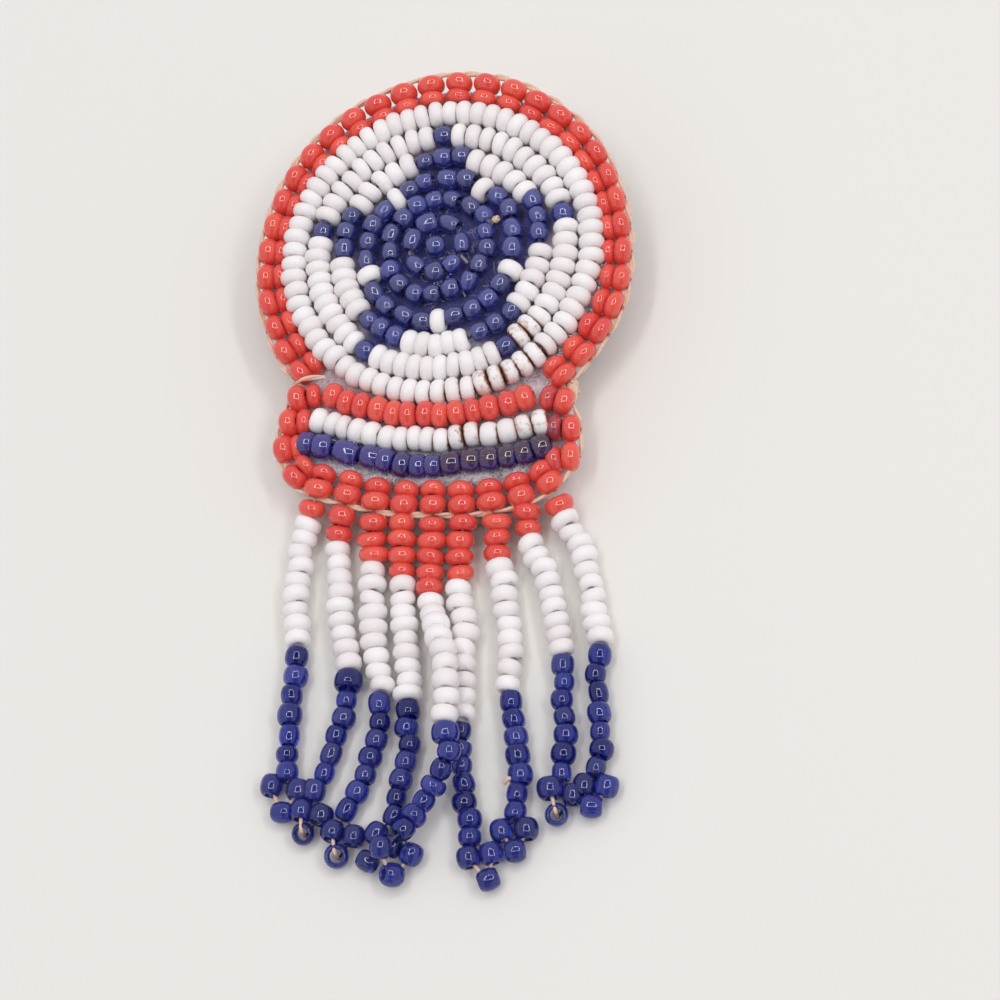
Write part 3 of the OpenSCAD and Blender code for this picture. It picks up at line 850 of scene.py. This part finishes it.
def couched_row(shape, places, stains, girth, fill):
    """Beads of a row on the lobe, each as long as its share, fill, of the room that there is for it."""
    line = [Vector((*place, BEAD_LEVEL)) for place in places]
    gaps = [(q - p).length for p, q in zip(line, line[1:])]
    gaps = gaps[:1] + gaps + gaps[-1:]
    made = []
    for k, at in enumerate(line):
        along = (line[min(k + 1, len(line) - 1)] - line[max(k - 1, 0)]).normalized()
        reach = fill * (gaps[k] + gaps[k + 1]) / 2 / shape["length"]
        made.append((shape, FELT_PLACE @ threaded(at, along, girth, reach), stain_at(stains, at.x, at.y)))
    row_threads.append(line)
    return made


beadwork("lobe_red_beads", couched_row(coral_bead, RED_ROW, RED_STAINS, girth=0.94, fill=1.05),
         coral, "red_glass", "lobe_red_row", levels=2)
beadwork("lobe_white_beads", couched_row(chalk_bead, WHITE_ROW, BROWN_STAINS, girth=0.96, fill=0.98),
         chalk, "white_glass", "lobe_white_row")
# The cobalt row's dust is more violet than the star's, partly as a painted reflection of the red edging and
# the pink felt.
dusty_cobalt = cobalt_of(
    "dusty_cobalt_glass", clear=0.75, thin_dust_and_sheen_colour="#75588F", IOR=1.6, Coat_Weight=0.6
)
flat_cobalt = bead_shape(diameter=2.1, length=1.6, hole=0.6, squareness=2.8)
beadwork("lobe_cobalt_beads", couched_row(flat_cobalt, COBALT_ROW, LINT_DUST_AND_SHEEN, girth=1.0, fill=1.01),
         dusty_cobalt, "navy_glass", "lobe_navy_row", levels=2)

# Fringe
# Nine limp strands hang from the lobe's edge and lie where they fell. Each has red beads, then
# white, then cobalt, and ends in a small loop of three cobalt beads where its thread turns back.
REDS = [1, 2, 3, 4, 5, 4, 3, 2, 1]
WHITES = [9, 9, 9, 9, 9, 9, 9, 9, 10]
NAVIES = 7
# Each strand's line, from the rosette's centre: across, up and height. Points 0 and 1 end its red
# beads, 1 and 4 its white ones, and 4 and 7 its cobalt ones.
ROUTES = [
    [(-9.1, -22.9, 2.4), (-9.5, -24.2, 1.7), (-10, -26.5, 1.1), (-9.8, -31, 1.1),
     (-9, -35.8, 1.1), (-8.9, -40, 1.1), (-8.6, -43.5, 1.1), (-8.3, -47.1, 1.1)],
    [(-6.7, -23.5, 2.4), (-6.8, -26.3, 1.2), (-6.2, -29.8, 1.1), (-5.6, -33.4, 1.1),
     (-4.4, -37.9, 1.1), (-4.2, -41.4, 1.1), (-4.9, -45, 1.1), (-5.9, -48.6, 1.1)],
    [(-3.8, -24.1, 2.4), (-3.5, -28.1, 1.1), (-3.2, -32, 1.1), (-2.4, -36, 1.1),
     (-1.5, -39.7, 1.1), (-1.3, -43, 1.1), (-2, -47, 1.1), (-2.9, -50.2, 1.1)],
    [(-1.2, -24.2, 2.4), (-0.9, -29.5, 1.1), (-0.3, -33, 1.1), (0.5, -36.5, 1.1),
     (0.9, -40.3, 1.1), (1.4, -44.5, 1.1), (1.2, -48, 1.1), (0.8, -50.4, 1.1)],
    [(1.3, -24.3, 2.4), (1.7, -30.9, 1.1), (2.9, -34.3, 2.5), (4.4, -38.2, 3.6),
     (4.9, -42.9, 3.5), (5.2, -45.6, 3.5), (3.7, -48.9, 2.2), (2.2, -51.8, 2.6)],
    [(4, -24.1, 2.4), (4.1, -29.6, 1.1), (5, -34, 1.1), (5.3, -38, 1.1),
     (5.7, -41.9, 1.1), (5.8, -45, 1.1), (6.8, -48.8, 1.1), (7.6, -51.7, 1.1)],
    [(6.8, -23.9, 2.4), (7.1, -27.7, 1.1), (8.3, -31.6, 1.1), (9, -35.4, 1.1),
     (9.1, -39.3, 1.1), (10.3, -43.2, 1.1), (10.9, -46.4, 1.1), (10.9, -49.6, 1.1)],
    [(9.4, -22.9, 2.4), (9.6, -25.5, 1.4), (11.2, -28.6, 1.1), (12.4, -32.4, 1.1),
     (13.4, -35.9, 1.1), (13.7, -39.5, 1.1), (14.2, -43, 1.1), (14.2, -46.2, 1.1)],
    [(11.7, -22.2, 2.4), (12.3, -23.5, 1.8), (13.9, -26.3, 1.1), (15.2, -30.2, 1.1),
     (16.2, -34.9, 1.1), (16.2, -38.4, 1.1), (17, -42.2, 1.1), (16.9, -45.7, 1.1)],
]
# The beads of each end loop, left, lower and right, and whether the lower one stands on end
END_BEADS = [
    [(-9.5, -47.9, 1), (-8.3, -50.1, 1), (-7.2, -48.2, 1), False],
    [(-6.7, -49.9, 1), (-6.3, -51.8, 1), (-5, -50.2, 1), True],
    [(-3.9, -51.5, 1), (-3.3, -53.5, 1), (-2.1, -51.8, 1), True],
    [(-0.3, -51.5, 1), (-0.7, -53.8, 1), (1.1, -52.5, 0.9), False],
    [(0.7, -53.2, 2.9), (1.5, -54.9, 1.3), (2.8, -53.1, 1.1), False],
    [(7.4, -53.1, 1), (9.2, -54.8, 1), (9.2, -52.7, 1), False],
    [(9.8, -50.8, 1), (11.1, -52.4, 1), (11.8, -50.6, 1), False],
    [(13.4, -47.2, 1), (14.1, -49.3, 1), (15.2, -47.6, 1), True],
    [(16.1, -46.8, 1), (16.8, -48.5, 1), (17.9, -46.8, 1), False],
]
# Strands count from 0 at the left: the one whose loop's left bead is large, those whose first cobalt
# bead is wide, those of which some white beads are dirty, and how dirty these are
LARGE_END_BEAD = (7, 0)
WIDE_FIRST = [1, 3, 4, 6, 7]
DIRTY_STRANDS = [4, 5, 6]
STRAND_DIRT = 0.66
# How far beads stray from their strand's line, how far askew they lie, how much fuller than its
# radius an uneven one may be, and the gap that is kept to the floor
STRAND_SWAY = 0.09
STRAND_WOBBLE = 0.12
FULLEST = 1.04
FLOOR_GAP = 0.03
# The loops: how far the last bead of the strand reaches in, and how large, askew and dusty theirs are,
# the dust also setting their tops' painted sheen
INTO_LOOP = 0.4
LOOP_GIRTHS = (0.9, 1.0)
LARGE_GIRTH = 1.1
LOOP_WOBBLE = 0.1
LOOP_DUST_AND_SHEEN = 0.06
# A bead that stands on end: which way it points, and where its thread goes in and comes out
STANDING = Vector((0.1, -0.25, 1))
THREAD_IN = Vector((-0.05, 0.25, 0.75))
THREAD_OUT = Vector((0, 0, -0.7))
# How high above the floor a strand's thread, a loop's thread and a strand's end keep
THREAD_REST = 0.2
LOOP_REST = 0.3
END_REST = 0.5
LAID_PLACE = Matrix.Scale(MM, 4) @ Matrix.Translation((ROSETTE_AT[0], ROSETTE_AT[1], 0))


def smooth_line(points, steps, closed=False):
    """A line through the points that bends smoothly, with the given steps between each two."""
    points = [Vector(p) for p in points]
    if closed:
        ends = [points[-1]] + points + points[:2]
    else:
        ends = [2 * points[0] - points[1]] + points + [2 * points[-1] - points[-2]]
    line = []
    for p, q, r, s in zip(ends, ends[1:], ends[2:], ends[3:]):
        for k in range(steps):
            t = k / steps
            line.append(0.5 * (2 * q + (r - p) * t + (2 * p - 5 * q + 4 * r - s) * t * t
                               + (3 * q - p - 3 * r + s) * t * t * t))
    return line + [ends[-2]]


def resting(at, radius):
    """A place at which something of this radius does not sink into what the brooch lies on."""
    return Vector((at.x, at.y, max(at.z, radius + FLOOR_GAP)))


def beads_along(shapes, line, girth, unlike, stains):
    """Beads that fill a line, each turned along it, whose sizes differ by up to a share, unlike. Each
    has one of the stains."""
    lengths = [0.0]
    for p, q in zip(line, line[1:]):
        lengths.append(lengths[-1] + (q - p).length)
    sizes = [shape["length"] * rng.uniform(1 - unlike, 1 + unlike) for shape in shapes]
    made, done = [], 0
    for shape, size in zip(shapes, sizes):
        target = lengths[-1] * (done + size / 2) / sum(sizes)
        done += size
        i = max(j for j, length in enumerate(lengths[:-1]) if length <= target)
        share = (target - lengths[i]) / (lengths[i + 1] - lengths[i])
        along = (line[i + 1] - line[i]).normalized()
        side = along.cross(Vector((0, 0, 1))) * rng.gauss(0, STRAND_SWAY)
        bulk = girth * rng.uniform(1 - unlike, 1 + unlike)
        at = resting(line[i].lerp(line[i + 1], share) + side, shape["radius"] * bulk * FULLEST)
        reach = lengths[-1] * size / sum(sizes) / shape["length"]
        stain = rng.choice(stains)
        made.append((shape, LAID_PLACE @ threaded(at, along, bulk, reach, STRAND_WOBBLE), stain))
    return made


# These cobalt beads are cleaner than the star's, and have no haze.
clean_cobalt = cobalt_of(
    "clean_cobalt_glass", clear=0.72, thin_dust_and_sheen_colour="#9496C0", IOR=1.5, Coat_Weight=0.25
)
# The steps that a strand's line takes between each two of its points, and where its red and its white
# beads end, in such steps
STEPS = 6
reds_end = STEPS
whites_end = 4 * STEPS
wide_cobalt = bead_shape(diameter=2.25, length=1.7, hole=0.75, squareness=3.0)
plump_cobalt = bead_shape(diameter=2.0, length=1.65, hole=0.7, squareness=2.3)
open_cobalt = bead_shape(diameter=2.0, length=1.3, hole=1.05, squareness=2.0)
fringe_reds = []
loop_beads = []
loop_threads = []
upper_threads = []
hidden_threads = []
for s, route in enumerate(ROUTES):
    line = smooth_line(route, STEPS)
    fringe_reds += beads_along([coral_bead] * REDS[s], line[: reds_end + 1],
                               girth=0.98, unlike=0.06, stains=[0, 0, 0, 0.2])
    whites = beads_along([chalk_bead] * WHITES[s], line[reds_end : whites_end + 1],
                         girth=1.0, unlike=0.06, stains=[0, 0, 0, STRAND_DIRT if s in DIRTY_STRANDS else 0])
    beadwork(f"strand_{s + 1}_chalk_beads", whites, chalk, "white_glass", f"strand_{s + 1}_white")
    left, lower, right = [Vector(p) for p in END_BEADS[s][:3]]
    on_end = END_BEADS[s][3]
    end = resting(line[-1], END_REST)
    first = wide_cobalt if s in WIDE_FIRST else plump_cobalt
    into_loop = end + ((left + right) / 2 - end).normalized() * INTO_LOOP
    navies = beads_along([first] + [plump_cobalt] * (NAVIES - 1), line[whites_end:] + [into_loop],
                         girth=0.93, unlike=0.12, stains=[0, 0, 0.04, 0.1])
    beadwork(f"strand_{s + 1}_cobalt_beads", navies, clean_cobalt, "navy_glass", f"strand_{s + 1}_navy",
             levels=2)
    ways = [lower - end, STANDING if on_end else right - left, end - lower]
    for k, (at, along) in enumerate(zip((left, lower, right), ways)):
        girth = LARGE_GIRTH if (s, k) == LARGE_END_BEAD else rng.uniform(*LOOP_GIRTHS)
        shape = open_cobalt if on_end and k == 1 else plump_cobalt
        at = resting(at, 0 if shape == open_cobalt else shape["radius"] * girth * FULLEST)
        place = LAID_PLACE @ threaded(at, along, girth, wobble=LOOP_WOBBLE)
        loop_beads.append((shape, place, LOOP_DUST_AND_SHEEN))
    # The thread shows where it goes into the lowest bead from the left, and where it comes out to the
    # right unless that bead stands on end.
    if on_end:
        below = lower + THREAD_OUT
        loop_threads.append(smooth_line([left, lower + THREAD_IN, lower, below], STEPS))
        hidden_threads.append(smooth_line([below, resting(right, LOOP_REST)], STEPS))
    else:
        loop_threads.append(smooth_line([left, lower, right], STEPS))
    upper_threads.append([resting(p, THREAD_REST) for p in line[:whites_end]])
    # The thread inside the cobalt beads and behind the loop is drawn dark, as painted shade.
    hidden_threads.append([resting(p, THREAD_REST) for p in line[whites_end:]] + [left])
    hidden_threads.append([end, right])
beadwork("fringe_coral_beads", fringe_reds, coral, "red_glass", "fringe_red_beads", levels=2)
beadwork("fringe_loop_beads", loop_beads, clean_cobalt, "navy_glass", "fringe_end_beads", levels=2)

# Threads
# Cotton. A cream one runs round the felt's edge, held down by the red sewing thread of each pair. It
# has a long stitch at the left notch and a knot at the right one. White ones, and dark ones whose dark
# is painted shade inside the cobalt beads, go through all beads.

# A thread's girth is its radius. The edge thread: its girth between two stitches and where they pinch
# it, the length in which its two plies turn once, how far out it bows, and its steps between stitches
CREAM_GIRTH = 0.28
PINCHED_GIRTH = 0.1
PLY_TURN = 6.0
EDGE_BOW = 0.12
SPINDLE_STEPS = 12
# Each ply's girth, and how far it lies from the thread's middle, as shares of the thread's girth
PLY_GIRTH = 0.62
PLY_OUT = 0.45
# The girth of the threads inside rings, rows and loops, and inside strands, and how many of the first
# rings have threads drawn dark as painted shade inside the cobalt beads, as the cobalt row's is
CORE_GIRTH = 0.15
STRAND_GIRTH = 0.11
DUSKY_RINGS = 4
# Each pair's two red stitches: their girth, how far to each side of the pair, how far above, outside
# and below the pinched thread they lie, and how far in and down they go back into the felt
RED_GIRTH = 0.07
RED_SIDE = 0.09
RED_ABOVE = 0.13
RED_OUTSIDE = 0.07
RED_BELOW = 0.14
RED_BACK = 0.7
RED_DOWN = 0.9
LEFT_NOTCH = (-11.9, -12.2, 2.2)
RIGHT_NOTCH = (12.4, -11.9, 2.1)
NOTCH_STITCH = [(-11.95, -12.2, 2.3), (-11.1, -12.15, 3.05), (-10.2, -12.0, 3.15), (-9.2, -11.8, 2.8)]
# That stitch's girth at its ends, how much it swells between them, and a power below 1, which puts
# its widest place nearer its start
NOTCH_GIRTH = 0.14
NOTCH_SWELL = 0.12
NOTCH_LEAN = 0.8
EDGE_KNOT = (12.35, -12.3, 1.8)
STAR_KNOT = (4.7, 2.85, 2.9)
THREAD_END = [(10.9, -46.5, 1.3), (10.1, -46.7, 1.7), (9.7, -47.0, 1.3)]
THREAD_END_GIRTH = 0.18
# How high the ends of the short stitches lie, and how much higher their middle
TIE_LEVEL = 2.0
TIE_RISE = 0.45
# A knot's steps in each turn, how uneven it is, and how often that comes round in each turn
KNOT_STEPS = 8
KNOT_UNEVENNESS = 0.25
KNOT_WANDER = 2.3
# How many steps a bend takes between each two of its points
BEND_STEPS = 3
# Each short stitch between the star's first beads: its two ends, across and up, and its girth
STAR_TIES = [
    ((-2.95, 0.1), (-2.7, -0.25), 0.19),
    ((-2.3, 1.9), (-1.85, 1.55), 0.1),
    ((-1.65, -1.45), (-1.5, -1.75), 0.15),
    ((1.12, 0.13), (2.25, -0.84), 0.17),
    ((0.07, -1.5), (0.64, -2.28), 0.18),
    ((-0.12, -4.05), (0.2, -4.15), 0.18),
    ((1.9, -3.25), (2.34, -4.0), 0.11),
    ((-3.0, -3.3), (-2.7, -3.42), 0.15),
]


def cotton_of(name, dark, light):
    """Spun cotton: dull, with a slight fuzz, and unevenly dyed in flecks about 0.2 mm across."""
    made = material_of(name, Roughness=0.9, Sheen_Weight=0.3, Sheen_Roughness=0.5)
    place = node(made, "ShaderNodeTexCoord").outputs["Object"]
    slubs = node(made, "ShaderNodeTexNoise", {"Vector": place, "Scale": 1 / (0.2 * MM), "Detail": 3.0})
    tone = node(made, "ShaderNodeMix", {
        FACTOR: slubs.outputs["Fac"], COLOUR_A: to_linear(dark), COLOUR_B: to_linear(light),
    }, data_type="RGBA")
    wire(made, tone.outputs[COLOUR_OUT], "Base Color")
    return made


def run_mesh(name, place, runs, roundness=1):
    """Threads as one mesh. Each is a line of points in millimetres with a radius for each point, and
    has four sides, and two more for each step of roundness."""
    curve = bpy.data.curves.new(name, "CURVE")
    curve.dimensions = "3D"
    curve.bevel_depth = MM
    curve.bevel_resolution = roundness
    curve.use_fill_caps = True
    for line, radii in runs:
        spline = curve.splines.new("POLY")
        spline.points.add(len(line) - 1)
        for point, at, radius in zip(spline.points, line, radii):
            point.co = (*(place @ at), 1)
            point.radius = radius
    curve_object = bpy.data.objects.new(name, curve)
    bpy.context.scene.collection.objects.link(curve_object)
    return evaluated_mesh(curve_object)


def plied(line, girths):
    """Two plies that twist round each other along a line."""
    turn, plies = 0.0, ([], [])
    for k, at in enumerate(line):
        step = line[min(k + 1, len(line) - 1)] - line[max(k - 1, 0)]
        turn += math.tau * step.length / 2 / PLY_TURN
        side = step.cross(Vector((0, 0, 1))).normalized()
        over = side.cross(step).normalized()
        for ply, start in zip(plies, (0, math.pi)):
            aside = side * math.cos(turn + start) + over * math.sin(turn + start)
            ply.append(at + aside * girths[k] * PLY_OUT)
    return [(ply, [girth * PLY_GIRTH for girth in girths]) for ply in plies]


def coil(at, axis, radius, length, turns, girth):
    """A knot, as a thread wound unevenly on itself."""
    axis = Vector(axis).normalized()
    side = axis.orthogonal().normalized()
    steps = turns * KNOT_STEPS
    line = []
    for k in range(steps + 1):
        a = math.tau * k / KNOT_STEPS
        out = radius * (1 + KNOT_UNEVENNESS * math.sin(KNOT_WANDER * a))
        line.append(Vector(at) + axis * length * (k / steps - 0.5)
                    + (side * math.cos(a) + axis.cross(side) * math.sin(a)) * out)
    return (line, [girth] * len(line))


cream = cotton_of("cream_cotton", "#D3AC92", "#F3D6C0")
white_cotton = cotton_of("white_cotton", "#C9BEC2", "#E4DCDF")
pale = cotton_of("pale_cotton", "#9C91A6", "#C6BAC2")
# Dusky cotton is dark as painted shade, for thread seen in shadow through or under cobalt glass.
dusky = cotton_of("dusky_cotton", "#3D3A55", "#5B5670")
red_cotton = cotton_of("red_cotton", "#DE5545", "#EE6B58")

stops = [(stop, level) for stop, hole, level in edge_stops]
stops.insert(len(ROSETTE_PAIRS), (Vector(LEFT_NOTCH), Vector((-1, 0, 0))))
stops.append((Vector(RIGHT_NOTCH), Vector((1, 0, 0))))
edge_line, edge_girths = [], []
for k, (stop, level) in enumerate(stops):
    next_stop, next_level = stops[(k + 1) % len(stops)]
    for j in range(SPINDLE_STEPS):
        t = j / SPINDLE_STEPS
        swell = math.sin(math.pi * t)
        edge_line.append(stop.lerp(next_stop, t) + level.lerp(next_level, t) * EDGE_BOW * swell)
        edge_girths.append(PINCHED_GIRTH + (CREAM_GIRTH - PINCHED_GIRTH) * swell)
edge_line.append(edge_line[0])
edge_girths.append(edge_girths[0])
stitch = smooth_line(NOTCH_STITCH, SPINDLE_STEPS)
stitch_girths = [
    NOTCH_GIRTH + NOTCH_SWELL * math.sin(math.pi * (k / (len(stitch) - 1)) ** NOTCH_LEAN)
    for k in range(len(stitch))
]
edge_runs = plied(edge_line, edge_girths) + plied(stitch, stitch_girths)
edge_runs.append(coil(EDGE_KNOT, axis=(0.3, -1, 0.2), radius=0.36, length=1.5, turns=5, girth=0.2))
edge_runs.append(coil(STAR_KNOT, axis=(1, 0.4, 0.4), radius=0.2, length=0.45, turns=3, girth=0.12))
piece_of("edge_thread", run_mesh("edge_thread", FELT_PLACE, edge_runs), cream, "thread")

red_runs = []
lift = Vector((0, 0, 1))
for stop, hole, level in edge_stops:
    for shift in (-RED_SIDE, RED_SIDE):
        at = stop + level.cross(lift) * shift
        loop = smooth_line([
            hole,
            at + lift * RED_ABOVE,
            at + level * RED_OUTSIDE,
            at - lift * RED_BELOW,
            stop - level * RED_BACK - lift * RED_DOWN,
        ], BEND_STEPS)
        red_runs.append((loop, [RED_GIRTH] * len(loop)))
piece_of("sewing_thread", run_mesh("sewing_thread", FELT_PLACE, red_runs), red_cotton, "thread")

core_lines, tie_runs = [], []
for places in ring_threads[1:]:
    places.sort(key=lambda at: math.atan2(at.y, at.x))
    core_lines.append(smooth_line(places, BEND_STEPS, closed=True))
core_lines += row_threads
core_runs = [(line, [CORE_GIRTH] * len(line)) for line in core_lines]
# The rings' threads come first, and the cobalt row's is the last.
# These threads, inside the cobalt beads, are drawn dark as painted shade.
dusky_runs = core_runs[:DUSKY_RINGS] + core_runs[-1:]
white_runs = core_runs[DUSKY_RINGS:-1]
# Short, flat stitches tie the first rings' threads down, between the beads.
for start, end, girth in STAR_TIES:
    start, end = Vector((*start, TIE_LEVEL)), Vector((*end, TIE_LEVEL))
    tie = smooth_line([start, (start + end) / 2 + Vector((0, 0, TIE_RISE)), end], BEND_STEPS)
    tie_runs.append((tie, [girth] * len(tie)))
piece_of("shaded_couched_thread", run_mesh("shaded_couched_thread", FELT_PLACE, dusky_runs), dusky, "thread")
piece_of("couched_thread", run_mesh("couched_thread", FELT_PLACE, white_runs), white_cotton, "thread")
piece_of("tying_thread", run_mesh("tying_thread", FELT_PLACE, tie_runs), pale, "thread")

strand_runs = [(line, [CORE_GIRTH] * len(line)) for line in loop_threads]
thread_end = smooth_line(THREAD_END, BEND_STEPS)
strand_runs.append((thread_end, [THREAD_END_GIRTH] * len(thread_end)))
piece_of("loop_thread", run_mesh("loop_thread", LAID_PLACE, strand_runs), cream, "thread")
upper_runs = [(line, [STRAND_GIRTH] * len(line)) for line in upper_threads]
piece_of("strand_thread", run_mesh("strand_thread", LAID_PLACE, upper_runs), white_cotton, "thread")
hidden_runs = [(line, [STRAND_GIRTH] * len(line)) for line in hidden_threads]
piece_of("shaded_strand_thread", run_mesh("shaded_strand_thread", LAID_PLACE, hidden_runs), dusky, "thread")

# Lint
# Loose wool fibres that have worked out of the felt, fine and curled, where it shows: under the
# cobalt row, at the notches and between the rosette and its edging. A few lie on the star.

# Each patch of lint: across, up, how far it spreads each way, how high it lies, how many fibres it
# has, and how many times longer and finer than the others they are
LINT_PATCHES = [
    (-7.2, -20.0, 1.8, 0.5, 2.0, 300, 1.0),
    (-3.5, -20.8, 2.0, 0.4, 2.0, 350, 1.0),
    (0.5, -21.0, 2.0, 0.35, 2.0, 350, 1.0),
    (4.5, -20.6, 2.0, 0.4, 2.0, 380, 1.0),
    (8.5, -19.8, 1.8, 0.5, 2.0, 280, 1.0),
    (9.8, -10.2, 0.7, 0.9, 1.5, 90, 1.0),
    (8.2, -11.4, 1.0, 0.5, 1.5, 80, 1.0),
    (11.3, -8.9, 0.4, 0.8, 1.9, 70, 1.0),
    (12.2, -7.6, 0.3, 0.8, 1.9, 70, 1.0),
    (12.9, -6.2, 0.3, 0.9, 1.9, 70, 1.0),
    (13.6, -4.6, 0.25, 1.0, 1.9, 70, 1.0),
    (14.1, -2.6, 0.2, 1.2, 1.9, 70, 1.0),
    (14.35, -0.4, 0.2, 1.2, 1.9, 50, 1.0),
    (-10.2, -11.9, 1.2, 0.4, 1.5, 80, 1.0),
    (4.0, -13.9, 3.0, 0.3, 2.6, 60, 1.0),
    (-5.0, -17.7, 3.0, 0.2, 2.9, 50, 1.0),
    (3.9, 2.8, 0.4, 0.4, 2.6, 40, 1.0),
    (-0.1, -3.2, 0.3, 0.3, 2.5, 14, 2.2),
    (-0.5, 0.5, 5.5, 5.5, 2.2, 150, 2.2),
    (10.7, -12.4, 1.0, 0.5, 1.7, 60, 1.0),
]
# A fibre: its girth and the least share of it, its points, the step between two, how much it turns
# from step to step, and how steeply it falls or rises
LINT_GIRTH = 0.03
LINT_THINNEST = 0.4
LINT_POINTS = 5
LINT_STEP = (0.05, 0.14)
LINT_CURL = 0.8
LINT_SLOPE = (-0.5, 0.6)
# How deep a patch is, and how many times its fibres' usual distance from its middle it reaches
LINT_DEPTH = 0.5
LINT_SPREAD = 1.7

lint_wool = material_of(
    "loose_wool", Base_Color=to_linear("#F2EAEF"), Roughness=0.9, Sheen_Weight=0.5, Sheen_Roughness=0.5
)
lint_runs = []
for across, up, wide, tall, high, count, fineness in LINT_PATCHES:
    for _ in range(count):
        at = Vector((across, up, high)) + Vector((
            rng.gauss(0, wide / LINT_SPREAD), rng.gauss(0, tall / LINT_SPREAD), rng.uniform(0, LINT_DEPTH)
        ))
        heading = rng.uniform(0, math.tau)
        line = []
        for _ in range(LINT_POINTS):
            line.append(at.copy())
            step = Vector((math.cos(heading), math.sin(heading), rng.uniform(*LINT_SLOPE)))
            at += step * rng.uniform(*LINT_STEP) * fineness
            heading += rng.gauss(0, LINT_CURL)
        girth = LINT_GIRTH * rng.uniform(LINT_THINNEST, 1) / fineness
        lint_runs.append((line, [girth] * len(line)))
piece_of("lint", run_mesh("lint", FELT_PLACE, lint_runs, roundness=0), lint_wool, "felt")
